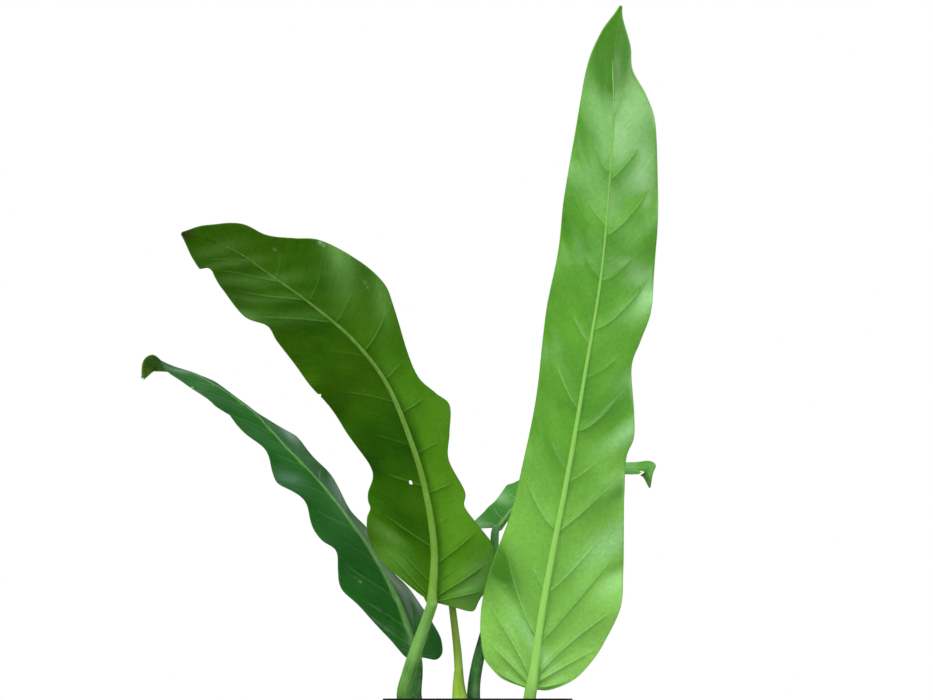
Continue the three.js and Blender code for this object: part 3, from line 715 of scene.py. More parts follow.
def ribWidth(leaf, along):
    midrib = leaf["midrib"]
    left = np.clip(1 - along / leaf["length"], 0, 1)
    flare = midrib["flare"] * np.exp(-np.maximum(along, 0) / bladeSettings["flareReach"])
    return between(midrib["tipRadius"], midrib["baseRadius"], left ** midrib["taper"]) + flare


def cutHole(hole, along, out):
    # the grid cells inside the hole go, and the points round it move onto its edge
    u = (along - hole["along"]) / hole["halfLength"]
    v = (out - hole["out"]) / hole["halfWidth"]
    size = np.hypot(u, v)
    middle = (size[:-1, :-1] + size[1:, :-1] + size[:-1, 1:] + size[1:, 1:]) / 4
    kept = middle > 1
    rows, columns = kept.shape
    touchesGone, touchesKept = np.zeros((2, *along.shape), bool)
    for i in (0, 1):
        for j in (0, 1):
            touchesGone[i:rows + i, j:columns + j] |= ~kept
            touchesKept[i:rows + i, j:columns + j] |= kept
    rim = touchesGone & touchesKept
    along[rim] = hole["along"] + hole["halfLength"] * u[rim] / size[rim]
    out[rim] = hole["out"] + hole["halfWidth"] * v[rim] / size[rim]
    return kept


def shellFaces(kept, across, count):
    # both faces of the thin solid, and a wall wherever a kept cell meets an empty one or the margin
    faces, sides = [], []
    padded = np.pad(kept, 1)
    for i, j in zip(*np.nonzero(kept)):
        a = int(i * across + j)
        b, c, d = a + 1, a + across, a + across + 1
        faces += [(a, b, d, c), (a + count, c + count, d + count, b + count)]
        sides += [0, 1]
        walls = [(padded[i, j + 1], b, a), (padded[i + 2, j + 1], c, d), (padded[i + 1, j], a, c),
                 (padded[i + 1, j + 2], d, b)]
        for neighbour, first, second in walls:
            if not neighbour:
                faces.append((first, second, second + count, first + count))
                sides.append(1)
    return faces, sides


def bladeGrid(leaf):
    # the points of both halves as one grid: distance along the midrib, distance out, and the same as shares
    settings = bladeSettings
    veins = [q for _, q, *_ in leaf["leftVeins"] + leaf["rightVeins"]]
    fractions = crowded(settings["rows"], veins, settings["rowsPerVein"], settings["veinSpread"])
    steps = crowded(settings["columns"] + 1, (0, 1), settings["columnsPerEdge"], settings["edgeSpread"])
    halves = []
    for sideIndex, sign in enumerate((-1, 1)):
        along, out = veinLine(leaf, sideIndex, fractions[:, None], steps[None, :])
        relief = veinRelief(leaf, sideIndex, along, out)
        near = bell(out / (settings["nearRib"] * ribWidth(leaf, along)))
        q, s = np.broadcast_arrays(fractions[:, None], sign * steps[None, :])
        halves.append([along, out, *relief, near, q, s])
    return (np.hstack([left[:, ::-1], right[:, 1:]]) for left, right in zip(*halves))


def bladeMarks(leaf, along, out):
    marks, shades = np.zeros((2, *along.shape))
    for at, away, size, tone in leaf.get("marks", []):
        marks += tone * bell(np.hypot(along - at, out - away) / size)
    # the sheen and shade patches are painted light: a painted sheen where the strength is plus, a painted
    # shade where it is minus
    slant = bladeSettings["shadeSlant"]
    for at, away, halfLength, halfWidth, tone in leaf["shades"]:
        forth, aside = along - at, (out - away) * np.sign(away)
        onward = forth * np.cos(slant) + aside * np.sin(slant)
        sideways = aside * np.cos(slant) - forth * np.sin(slant)
        shades += tone * bell(np.hypot(onward / halfLength, sideways / halfWidth))
    return marks, shades


def makeBlade(leaf, underLook, upperLook):
    measureLeaf(leaf)
    settings, under = bladeSettings, leaf["under"]
    along, out, crease, vein, furrow, near, q, s = bladeGrid(leaf)
    kept = np.ones((along.shape[0] - 1, along.shape[1] - 1), bool)
    if "hole" in leaf:
        kept = cutHole(leaf["hole"], along, out)
    width = ribWidth(leaf, along)
    middle, normal = bladePoint(leaf, along, out), bladeNormal(leaf, along, out)

    phases = np.random.default_rng(leaf["seed"]).uniform(0, fullTurn, 3)
    ripples = zip(settings["ripplesAlong"], settings["ripplesOut"], phases)
    ripple = settings["rippleHeight"] * sum(np.sin(q * f + s * g + p) for f, g, p in ripples)
    tipFade = 1 - smoothstep(settings["tipCalm"], 1.0, q)
    bulge = (crease * (1 - settings["calmRib"] * near) + ripple * (1 - near)) * tipFade
    shift = under * (bulge + settings["ribDip"] * width * near)

    onRib = s == 0
    toEdge = (1 - np.abs(s)) * np.abs(out / np.where(onRib, 1, s))
    inner = np.where(onRib, 1, smoothstep(0, settings["thinReach"], toEdge))
    half = 0.5 * between(settings["marginThickness"], settings["thickness"], inner)
    ridge = settings["veinHeight"] * vein * tipFade
    underFace = middle + normal * (shift + under * (half + ridge))[..., None]
    upperRidge = settings["upperVein"] * ridge * (1 - near)
    upperFace = middle + normal * (shift - under * (half - upperRidge))[..., None]
    faces, sides = shellFaces(kept, along.shape[1], along.size)

    ribMask = 1 - smoothstep(settings["ribEdge"], 1.0, np.abs(out) / (leaf["ribShow"] * width))
    ribMask = ribMask * (1 - smoothstep(*settings["ribEnd"], q))
    edgeMask = np.where(onRib, 0, 1 - smoothstep(*settings["paleMargin"], toEdge))
    marks, shades = bladeMarks(leaf, along, out)
    bothFaces = {
        # the band beside the veins, painted shade in the creases
        "vein": (vein, vein), "furrow": (furrow - vein, furrow - vein), "rib": (0 * ribMask, ribMask),
        "margin": (edgeMask, edgeMask), "mark": (marks, marks),
        # painted light: sheen where plus, shade where minus, weaker on the other face
        "shade": (shades, settings["otherShade"] * shades)[::under],
    }
    name = leaf["name"]
    piece = makePiece(
        name + "Blade", np.vstack([underFace.reshape(-1, 3), upperFace.reshape(-1, 3)]), faces,
        [leafMaterial(name + "Underside", underLook), leafMaterial(name + "Upperside", upperLook)],
        sides, {label: np.stack(values) for label, values in bothFaces.items()},
        np.tile(np.stack([q, 0.5 + 0.5 * s], -1).reshape(-1, 2), (2, 1)),
    )
    finishPiece(outward(piece), [leaf["node"] + "_blade"])
    print("blade", name, len(piece.data.polygons))


# Finishes of the four blades, each with its underside and its upper side, as tints of red, green and blue

# In these finishes the sheen tint paints sheen and glints, and the blotch tint serves both the random
# blotches and painted shade.
tallUnder = {
    "specular": 0.4, "coat": 0.0, "coatRoughness": 0.4,
    "surface": {
        "Deep": (74, 148, 20), "Body": (96, 168, 34), "Pale": (124, 188, 76),
        "Base tint": (156, 222, 98), "Tip tint": (62, 128, 0), "Vein": (164, 216, 128),
        "Rib": (150, 210, 100), "Margin": (104, 168, 56), "Base reach": 0.5, "Vein show": 0.32,
        "Bloom": (162, 226, 140), "Furrow": 0.4,
        "Blotch": (62, 130, 0), "Blotches": 0.3, "Tip start": 0.87, "Tip blend": 0.07,
        "Streaks": 0.2, "Mottle": 0.2, "Gloss": 0.34, "Gloss spread": 0.15,
    },
}
tallUpper = {
    "specular": 0.45, "coat": 0.2, "coatRoughness": 0.25,
    "surface": {
        "Deep": (44, 108, 28), "Body": (58, 126, 38), "Pale": (84, 150, 58),
        "Base tint": (62, 134, 40), "Tip tint": (58, 100, 30), "Vein": (124, 176, 88),
        "Rib": (140, 192, 96), "Margin": (120, 172, 82), "Base reach": 0.3, "Vein show": 0.5,
        "Streaks": 0.3, "Mottle": 0.2, "Gloss": 0.32, "Gloss spread": 0.15,
    },
}
archingUnder = {
    "specular": 0.05, "coat": 0.0, "coatRoughness": 0.35,
    "surface": {
        "Deep": (26, 84, 0), "Body": (56, 102, 0), "Pale": (80, 130, 26),
        "Base tint": (78, 134, 14), "Tip tint": (66, 52, 30), "Vein": (118, 168, 62),
        "Rib": (112, 156, 66), "Margin": (84, 138, 34), "Base reach": 0.3, "Vein show": 0.34,
        # the lighter lower right half is painted light
        "Right show": 0.75, "Right tint": (96, 160, 30), "Blotch": (22, 76, 0), "Blotches": 0.25,
        "Bloom": (112, 168, 78), "Furrow": 0.45,
        "Streaks": 0.26, "Mottle": 0.14, "Gloss": 0.4, "Gloss spread": 0.2,
    },
}
archingUpper = {
    "specular": 0.45, "coat": 0.2, "coatRoughness": 0.25,
    "surface": {
        "Deep": (24, 74, 24), "Body": (34, 92, 30), "Pale": (58, 114, 48),
        "Base tint": (40, 102, 34), "Tip tint": (66, 52, 30), "Vein": (98, 150, 76),
        "Rib": (114, 168, 84), "Margin": (84, 134, 58), "Base reach": 0.3, "Vein show": 0.5,
        "Streaks": 0.3, "Mottle": 0.2, "Gloss": 0.3, "Gloss spread": 0.15,
    },
}
sideUpper = {
    "specular": 0.14, "coat": 0.03, "coatRoughness": 0.22,
    "surface": {
        "Bloom": (118, 150, 128), "Blotch": (8, 80, 4),
        "Deep": (16, 84, 10), "Body": (38, 104, 30), "Pale": (58, 120, 52),
        "Base tint": (44, 102, 40), "Tip tint": (60, 104, 36), "Vein": (92, 148, 84),
        "Rib": (84, 144, 68), "Margin": (60, 118, 54), "Base reach": 0.4, "Vein show": 0.4,
        "Streaks": 0.3, "Mottle": 0.25, "Gloss": 0.32, "Gloss spread": 0.15,
    },
}
sideUnder = {
    "specular": 0.15, "coat": 0.02, "coatRoughness": 0.4,
    "surface": {
        "Deep": (58, 102, 26), "Body": (76, 122, 38), "Pale": (98, 144, 58),
        "Base tint": (78, 126, 42), "Tip tint": (80, 120, 36), "Vein": (118, 162, 76),
        "Rib": (124, 170, 80), "Margin": (132, 176, 90), "Base reach": 0.3, "Vein show": 0.45,
        "Streaks": 0.3, "Mottle": 0.2, "Gloss": 0.42, "Gloss spread": 0.2,
    },
}
backUpper = {
    "specular": 0.03, "coat": 0.0, "coatRoughness": 0.25,
    "surface": {
        # the pale mottle here is partly tissue mottling and partly painted glints
        "Deep": (48, 130, 14), "Body": (74, 152, 28), "Pale": (132, 192, 114),
        "Bloom": (138, 190, 126), "Blotch": (34, 104, 22),
        "Base tint": (60, 130, 40), "Tip tint": (110, 166, 90), "Vein": (128, 184, 108),
        "Rib": (128, 184, 94), "Margin": (104, 160, 76), "Base reach": 0.4, "Vein show": 0.55,
        "Streaks": 0.4, "Mottle": 0.6, "Gloss": 0.34, "Gloss spread": 0.15,
    },
}
backUnder = {
    "specular": 0.25, "coat": 0.08, "coatRoughness": 0.4,
    "surface": {
        "Deep": (74, 132, 34), "Body": (94, 152, 48), "Pale": (120, 172, 72),
        "Base tint": (96, 152, 50), "Tip tint": (84, 130, 40), "Vein": (140, 190, 92),
        "Rib": (140, 192, 90), "Margin": (130, 180, 80), "Base reach": 0.3, "Vein show": 0.5,
        "Streaks": 0.3, "Mottle": 0.2, "Gloss": 0.42, "Gloss spread": 0.2,
    },
}

leaves = [
    (tallLeaf, tallUnder, tallUpper),
    (archingLeaf, archingUnder, archingUpper),
    (sideLeaf, sideUnder, sideUpper),
    (backLeaf, backUnder, backUpper),
]
for leaf, underLook, upperLook in leaves:
    makeBlade(leaf, underLook, upperLook)


# Stalks: round pieces along a path, with a frame that turns as little as it can

def stalkFrames(points):
    forward = unit(np.gradient(points, axis=0))
    across = np.empty_like(points)
    side = np.array([1.0, 0.2, 0.1])  # no stalk runs this way
    for i, direction in enumerate(forward):
        side = unit(side - direction * (side @ direction))
        across[i] = side
    return across, np.cross(across, forward)


def flowMap(share, angle):
    # how far along a stalk each point is, and how far round it
    return np.stack(np.broadcast_arrays(share[:, None], (angle / fullTurn)[None, :]), -1)


def stalkSkinGroup():
    tree, bench, given, out = newGroup("stalkSkin", ("Dark", "Light", "Middle", "Top", "Fleck", "Edge"), {
        "Middle at": 0.5, "Rise": 0.0, "Flecks": 0.3, "Lines": 60.0, "Gloss": 0.4,
    })
    place = bench.place()
    along, turn, _ = bench.split(bench.flow())
    lines = bench.noise(bench.joined(turn * given["Lines"], along * 14.0), 1.0, 3.0, 0.6)
    patches = bench.noise(place, 90.0, 4.0, 0.6)
    powder = bench.noise(bench.scaled(place, (1, 1, 0.5)), 520.0, 4.0, 0.7)
    wide = bench.noise(place, 26.0)
    dots, dotColours = bench.cells(bench.scaled(place, (1, 1, 0.45)), 420.0)
    risen = (along / given["Middle at"]).clamped() - 0.5
    pastMiddle = along - given["Middle at"]
    dotTone = bench.ramp(dots, 0.32, 0.14) * bench.ramp(bench.split(dotColours)[1], 0.62, 0.7)
    scurf = bench.ramp(powder * 0.7 + patches, 0.78, 1.0) * 0.75
    bench.feed(out["Colour"], bench.layered(given["Dark"], [
        (bench.ramp(risen * given["Rise"] + wide * 0.6 + lines * 0.4, 0.36, 0.64), given["Light"]),
        (bench.ramp(pastMiddle, -0.03, 0.03), given["Middle"]),
        ((pastMiddle / (1.0 - given["Middle at"])).clamped(), given["Top"]),
        (bench.attribute("edge"), given["Edge"]),
        (bench.math("MAXIMUM", dotTone, scurf) * given["Flecks"], given["Fleck"]),
    ]))
    bench.feed(out["Roughness"], patches * 0.2 + given["Gloss"])
    bench.feed(out["Height"], lines * 0.7 + dotTone * 0.4)
    return tree


stalkSkin = stalkSkinGroup()


def stalkMaterial(name, look):
    return groupMaterial(name, stalkSkin, look["surface"], look["bump"], {
        "Specular IOR Level": 0.25, "Coat Weight": look["coat"], "Coat Roughness": 0.3,
    })


def stalkPiece(name, rings, uv, material, node, slot, edge=None):
    piece = makePiece(
        name, rings.reshape(-1, 3), loftFaces(*rings.shape[:2]), [material],
        attributes={} if edge is None else {"edge": edge}, uv=uv.reshape(-1, 2),
    )
    finishPiece(outward(piece), [node])


petioleSettings = {
    "lowerStations": 90, "ribStations": 190, "sides": 28, "lead": 9, "flatFrom": 0.9, "flatTo": 1.03,
    "taperEnd": 1.15, "footSwell": 0.12, "footReach": 0.12, "groove": 0.16, "grooveWidth": 0.42,
    "grooveFade": 0.7, "ribDepth": 0.66, "tipFrom": 0.94, "tipWidth": 0.3, "tipDepth": 0.25,
    "gap": 0.4, "drop": 0.65, "sink": 0.42, "sinkReach": 30,
}

petioleLooks = {
    "tallLeaf": {
        "coat": 0.06, "bump": 0.12,
        "surface": {"Dark": (122, 194, 70), "Light": (150, 218, 94), "Middle": (162, 228, 106),
                    "Top": (126, 186, 76), "Fleck": (172, 228, 130), "Flecks": 0.2, "Lines": 46.0,
                    "Gloss": 0.36},
    },
    "archingLeaf": {
        "coat": 0.05, "bump": 0.12,
        "surface": {"Dark": (62, 122, 28), "Light": (120, 180, 84), "Middle": (120, 170, 48), "Rise": 0.36,
                    "Top": (80, 120, 20), "Fleck": (150, 200, 120), "Flecks": 0.3, "Lines": 46.0,
                    "Gloss": 0.36},
    },
    "sideLeaf": {
        "coat": 0.1, "bump": 0.16,
        "surface": {"Dark": (32, 92, 24), "Light": (54, 114, 42), "Middle": (96, 150, 70),
                    "Top": (84, 140, 60), "Fleck": (140, 178, 136), "Flecks": 0.42, "Lines": 40.0,
                    "Gloss": 0.42},
    },
    "backLeaf": {
        "coat": 0.1, "bump": 0.16,
        "surface": {"Dark": (56, 124, 50), "Light": (96, 164, 84), "Middle": (120, 176, 110), "Rise": 0.28,
                    "Top": (96, 148, 80), "Fleck": (154, 196, 146), "Flecks": 0.3, "Lines": 40.0,
                    "Gloss": 0.42},
    },
}


def ribSection(leaf, reach, endFade):
    # half the midrib's width, and its depth, at some distances along it
    settings = petioleSettings
    width = ribWidth(leaf, reach)
    depth = settings["ribDepth"] * width * between(settings["tipDepth"], 1, endFade)
    return width * between(settings["tipWidth"], 1, endFade), depth


def makePetiole(leaf):
    # the petiole from the stem to the blade, and on under the blade as its raised midrib
    settings, midrib, stalk, under = petioleSettings, leaf["midrib"], leaf["petiole"], leaf["under"]
    reach = np.linspace(0, midrib["end"] * leaf["length"], settings["ribStations"])
    point, forward, side, face, _ = ribFrame(leaf, reach)
    width, depth = ribSection(leaf, reach, smoothstep(1.0, settings["tipFrom"], reach / reach[-1]))
    hanging = settings["gap"] + midrib["clearance"] + settings["drop"] * width
    sunk = bladeSettings["ribDip"] * ribWidth(leaf, reach) + settings["sink"] * depth
    away = between(hanging, sunk, smoothstep(0, settings["sinkReach"], reach))
    ribCentres = point + face * (under * away)[:, None]

    lead = stalk.get("lead", settings["lead"])
    curve = measuredCurve(np.vstack([stalk["path"], ribCentres[0] - lead * forward[0], ribCentres[0]]), 3)
    total = curve["reach"][-1]
    u = np.linspace(0, 1, settings["lowerStations"], endpoint=False)
    lower, ahead, behind = (curveAt(curve, np.clip(u * total + d, 0, total)) for d in (0, 1, -1))
    roundness = between(stalk["baseRadius"], stalk["topRadius"], np.minimum(1, u * settings["taperEnd"]))
    roundness = roundness * (1 + settings["footSwell"] * bell(u / settings["footReach"]))
    flat = smoothstep(stalk.get("flatFrom", settings["flatFrom"]), settings["flatTo"], u)

    centres = np.vstack([lower, ribCentres])
    allForward = np.vstack([unit(ahead - behind), forward])
    allSide = np.vstack([np.broadcast_to(side[0], lower.shape), side])
    across = unit(allSide - allForward * np.sum(allSide * allForward, axis=1)[:, None])
    deep = np.cross(across, allForward)
    angle = roundAngles(settings["sides"])
    channel = np.concatenate([1 - settings["grooveFade"] * flat, np.zeros(len(reach))])[:, None]
    upperSide = -under * np.sign(deep[0] @ face[0]) * math.pi / 2
    notch = bell(np.angle(np.exp(1j * (angle - upperSide))) / settings["grooveWidth"])[None, :]
    size = 1 - settings["groove"] * channel * notch
    wide, thick = (
        np.concatenate([between(roundness, rib[0], flat), rib])[:, None] * size for rib in (width, depth)
    )

    lengths = travelled(centres)
    look = petioleLooks[leaf["name"]]
    look["surface"]["Middle at"] = total / lengths[-1]
    stalkPiece(
        leaf["name"] + "Petiole", ringPoints(centres, across, deep, wide, thick, angle),
        flowMap(lengths / lengths[-1], angle), stalkMaterial(leaf["name"] + "Stalk", look),
        leaf["node"] + "_petiole", "pale_petiole" if under == 1 else "green_petiole",
    )


for leaf, *_ in leaves:
    makePetiole(leaf)
print("petioles done")


# The rolled new leaf, with the seam where its edge wraps over, and the sheath that it comes out of

newLeafShape = {
    "path": [(-14, 3, 122), (-14, 4, 138), (-15, 6, 154), (-17, 7, 172), (-21, 10, 205), (-24, 13, 240),
             (-25, 15, 262)],
    "radii": [3.3, 3.4, 3.2, 2.9, 2.7, 2.1, 0.5], "stations": 150, "sides": 64,
    "step": 0.15, "seamAngle": 0.8, "twist": 0.5, "seamWidth": 0.12, "edgeReach": 0.22, "edgeFade": 0.6,
}
newLeafLook = {
    "coat": 0.08, "bump": 0.12,
    "surface": {"Dark": (142, 182, 44), "Light": (158, 198, 60), "Middle": (142, 178, 52), "Middle at": 0.6,
                "Top": (130, 170, 50), "Edge": (136, 206, 70), "Fleck": (190, 216, 130), "Flecks": 0.2,
                "Lines": 30.0, "Gloss": 0.4},
}
sheathShape = {
    "path": [(-14, 3, 106), (-13, 2, 116), (-14, 3, 130), (-14, 4, 142)],
    "radii": [6.4, 6.3, 4.5, 3.2], "stations": 60, "sides": 64, "wall": 0.2, "inset": 0.04,
    "step": 0.03, "seamAngle": 1.9, "twist": 0.2, "seamWidth": 0.2,
    "mouthDrop": 0.06, "mouthBend": 0.8, "tipSide": 0.4,
    "streakAngle": 1.72, "streakWidth": 0.3, "streakFrom": (0.2, 0.7),
}
sheathLook = {
    "coat": 0.08, "bump": 0.12,
    "surface": {"Dark": (164, 222, 70), "Light": (186, 238, 96), "Middle": (168, 220, 66), "Middle at": 0.5,
                "Top": (146, 190, 46), "Edge": (146, 186, 46), "Fleck": (190, 214, 130), "Flecks": 0.15,
                "Lines": 36.0, "Gloss": 0.36},
}


def stalkRings(shape, radiusAt):
    # rings of points round a path; radiusAt shapes the radius by the share of the path and the angle
    count = shape["stations"]
    centres = splineRows(shape["path"], count)
    radii = splineRows([(r, 0) for r in shape["radii"]], count)[:, 0]
    across, deep = stalkFrames(centres)
    angle = roundAngles(shape["sides"])
    share = np.linspace(0, 1, count)
    size = radiusAt(share[:, None], angle[None, :], radii[:, None])
    return ringPoints(centres, across, deep, size, size, angle), flowMap(share, angle)


def turnPastSeam(shape, share, angle):
    # how far round from the seam a point is, from 0 to 1
    return ((angle - shape["seamAngle"] - shape["twist"] * share) / fullTurn) % 1.0


def lappedRadius(shape):
    # a section that grows a little all the way round and steps back at the seam
    def radiusAt(share, angle, radius):
        turn = turnPastSeam(shape, share, angle)
        return radius * (1 - shape["step"] * (1 - turn) * smoothstep(0, shape["seamWidth"] / fullTurn, turn))
    return radiusAt


def makeNewLeaf():
    shape = newLeafShape
    rings, uv = stalkRings(shape, lappedRadius(shape))
    turn = turnPastSeam(shape, uv[..., 0], uv[..., 1] * fullTurn)
    edge = smoothstep(1 - shape["edgeReach"], 1 - shape["edgeFade"] * shape["edgeReach"], turn)
    stalkPiece("newLeaf", rings, uv, stalkMaterial("rolledLeaf", newLeafLook), "new_leaf", "new_leaf", edge)


def makeSheath():
    # a thin wrapped wall with a slanting mouth, tight round the new leaf at its upper end
    shape = sheathShape
    outer, uv = stalkRings(shape, lappedRadius(shape))
    share, angle = uv[:, 0, 0], uv[0, :, 1] * fullTurn
    mouth = 1 - shape["mouthDrop"] * (0.5 - 0.5 * np.cos(angle - shape["tipSide"])) ** shape["mouthBend"]

    def innerRadius(share, angle, radius):
        return radius * (1 - shape["inset"]) - shape["wall"] + 0 * angle

    def slanted(rings):
        result = np.empty_like(rings)
        for j, top in enumerate(mouth):
            for k in range(3):
                result[:, j, k] = np.interp(share * top, share, rings[:, j, k])
        return result

    inner, _ = stalkRings(shape, innerRadius)
    walls = np.vstack([slanted(outer), slanted(inner)[::-1]])
    streak = bell((angle - shape["streakAngle"]) / shape["streakWidth"])
    streak = streak * smoothstep(*shape["streakFrom"], share)[:, None]
    stalkPiece("newLeafSheath", walls, np.vstack([uv, uv[::-1]]), stalkMaterial("sheathSkin", sheathLook),
               "new_leaf_sheath", "sheath", np.vstack([streak, 0 * streak]))


makeNewLeaf()
makeSheath()


# The creeping stem, ringed by leaf scars, and the roots that run from it into the mix

stemShape = {
    "path": [(50, -20, 99), (34, -15, 101), (14, -6, 101), (-6, 4, 101), (-28, 6, 101), (-46, 2, 101),
             (-58, -5, 98)],
    "radii": [8, 8], "tipRadius": 4.5, "tipStart": 0.35, "tipRise": 4, "stations": 240, "sides": 64,
    "nodes": 6, "nodeSwell": 0.8, "scarWidth": 0.012, "scarHeight": 0.55,
    "knob": 0.14, "knobsAlong": (38, 61, 97, 23, 140, 75), "knobsRound": (2, -3, 5, 1, 4, -6), "seed": 5,
}
stemLook = {
    "coat": 0.05, "bump": 0.6,
    "surface": {"Dark": (78, 84, 38), "Light": (112, 122, 56), "Middle": (104, 96, 52), "Middle at": 0.5,
                "Top": (98, 100, 48), "Fleck": (138, 114, 76), "Flecks": 0.85, "Lines": 22.0, "Gloss": 0.5},
}
rootPaths = [
    [(24, -16, 103), (27, -27, 103), (29, -33, 96), (30, -36, 84)],
    [(-16, 3, 100), (-18, -9, 102), (-20, -17, 98), (-21, -20, 86)],
    [(-34, 8, 100), (-29, 20, 102), (-26, 28, 97), (-25, 31, 85)],
    [(8, -2, 100), (13, 12, 103), (17, 21, 98), (19, 25, 86)],
]
rootShape = {
    "radii": [1.7, 1.7], "stations": 70, "sides": 18, "taper": 0.25,
    "knob": 0.045, "knobsAlong": (5, 9, 16), "knobsRound": (1, 2, -3), "seed": 23,
}
rootLook = {
    "coat": 0.0, "bump": 0.3,
    "surface": {"Dark": (112, 84, 54), "Light": (158, 128, 88), "Middle": (126, 96, 62), "Middle at": 0.5,
                "Top": (92, 66, 42), "Fleck": (190, 168, 128), "Flecks": 0.6, "Lines": 14.0, "Gloss": 0.7},
}


def knobs(shape, along, angle, phases):
    waves = zip(shape["knobsAlong"], shape["knobsRound"], phases)
    return shape["knob"] * sum(np.sin(f * along + g * angle + p) for f, g, p in waves)


def makeStem():
    shape = stemShape
    phases = np.random.default_rng(shape["seed"]).uniform(0, fullTurn, 6)

    def scarred(share, angle, radius):
        full = np.minimum(1, shape["tipRise"] * np.minimum(share, 1 - share) + shape["tipStart"])
        toNode = np.abs((share * shape["nodes"] + 0.5) % 1 - 0.5) / shape["nodes"]
        rings = shape["nodeSwell"] * np.cos(fullTurn * shape["nodes"] * share)
        rings = rings + shape["scarHeight"] * bell(toNode / shape["scarWidth"])
        return between(shape["tipRadius"], radius, full) + rings * full + knobs(shape, share, angle, phases)

    material = stalkMaterial("stemSkin", stemLook)
    stalkPiece("creepingStem", *stalkRings(shape, scarred), material, "stem", "stem")


def makeRoots():
    shape = rootShape
    material = stalkMaterial("rootSkin", rootLook)
    spread = np.random.default_rng(shape["seed"])
    for number, path in enumerate(rootPaths, 1):
        phases = spread.uniform(0, fullTurn, 3)

        def knobbly(share, angle, radius):
            return radius * (1 + knobs(shape, share * fullTurn, angle, phases) - shape["taper"] * share ** 3)

        rings, uv = stalkRings({**shape, "path": path}, knobbly)
        stalkPiece(f"root{number}", rings, uv, material, f"root_{number}", "root")


makeStem()
makeRoots()
print("stem, roots and new leaf done")


# Geometry Nodes helpers

def newGeometryTree(name, inputs):
    tree = bpy.data.node_groups.new(name, "GeometryNodeTree")
    tree.interface.new_socket("Geometry", in_out="INPUT", socket_type="NodeSocketGeometry")
    names = {}
    for label, kind in inputs.items():
        socket = tree.interface.new_socket(label, in_out="INPUT", socket_type="NodeSocket" + kind)
        names[label] = socket.identifier
    tree.interface.new_socket("Geometry", in_out="OUTPUT", socket_type="NodeSocketGeometry")
    bench = NodeBench(tree)
    return tree, names, bench, *bench.ends()


def grownPiece(name, base, tree, names, values):
    # runs the tree on the base object and keeps the result as a plain mesh
    modifier = base.modifiers.new("grow", "NODES")
    modifier.node_group = tree
    for label, value in values.items():
        modifier[names[label]] = value
    mesh = bpy.data.meshes.new_from_object(base.evaluated_get(bpy.context.evaluated_depsgraph_get()))
    base.modifiers.remove(modifier)
    mesh.name = name
    return placeObject(name, mesh)


def scatterTree():
    # strews a collection's pieces over a surface, each turned, sized and toned at random
    tree, names, bench, given, out = newGeometryTree("strewPieces", {
        "Density": "Float", "Seed": "Int", "Pieces": "Collection", "Smallest": "Float", "Largest": "Float",
        "Lift": "Float", "Lean": "Float", "Material": "Material",
    })

    def randomNumber(low, high, seedStep):
        span = {2: low, 3: high, "Seed": given["Seed"] + seedStep}
        return bench.wire("FunctionNodeRandomValue", span, 1, data_type="FLOAT")

    spots = bench.wire("GeometryNodeDistributePointsOnFaces", {
        "Mesh": given["Geometry"], "Density": given["Density"], "Seed": given["Seed"],
    }, "Points")
    pieces = bench.wire("GeometryNodeCollectionInfo", {
        "Collection": given["Pieces"], "Separate Children": True, "Reset Children": True,
    })
    lean, leanBack = given["Lean"], -given["Lean"]
    turn = bench.wire("FunctionNodeRandomValue", {
        0: bench.joined(leanBack, leanBack, 0.0), 1: bench.joined(lean, lean, fullTurn),
        "Seed": given["Seed"],
    }, data_type="FLOAT_VECTOR")
    placed = bench.wire("GeometryNodeInstanceOnPoints", {
        "Points": spots, "Instance": pieces, "Pick Instance": True, "Rotation": turn,
        "Scale": randomNumber(given["Smallest"], given["Largest"], 1.0),
    })
    toned = bench.wire("GeometryNodeStoreNamedAttribute", {
        "Geometry": placed, "Name": "tone", "Value": randomNumber(0.0, 1.0, 2.0),
    }, data_type="FLOAT", domain="INSTANCE")
    raised = bench.wire("GeometryNodeTranslateInstances", {
        "Instances": toned, "Translation": bench.joined(0.0, 0.0, given["Lift"]), "Local Space": False,
    })
    real = bench.wire("GeometryNodeRealizeInstances", {"Geometry": raised})
    dressed = bench.wire("GeometryNodeSetMaterial", {"Geometry": real, "Material": given["Material"]})
    bench.feed(out["Geometry"], dressed)
    return tree, names


# The nursery pot: a thin moulded wall with a rolled rim band, a foot ring and drain holes

potShape = {
    "height": 120, "rimRadius": 70, "rimBand": 15, "wall": 1.5, "bodyTopRadius": 66, "footRadius": 49,
    "floor": 1.8, "padRadius": 20, "footWidth": 8, "recess": 2, "holes": 6, "holeCircle": 31,
    "holeRadius": 4, "holeSides": 40, "punchDepth": 20, "sides": 192, "sharpAngle": 38, "footRound": 1.5,
    "lipSteps": 10, "lipDepth": 3, "stepRound": 1.3, "stepOut": 1.2, "stepUp": -0.7, "bandUp": 1.9,
    "bandInset": 0.15, "bandEnds": (3.2, 3.4), "ledgeRound": 1.0, "ledgeUp": 3.4, "shoulderRound": 0.8,
    "shoulderUp": 1.0, "insideFoot": [(1, 4), (-0.6, 1.2), (-3, 0)],
}


def arc(centre, radius, start, end, steps=6):
    angles = np.radians(np.linspace(start, end, steps))
    return [(centre[0] + radius * math.cos(a), centre[1] + radius * math.sin(a)) for a in angles]


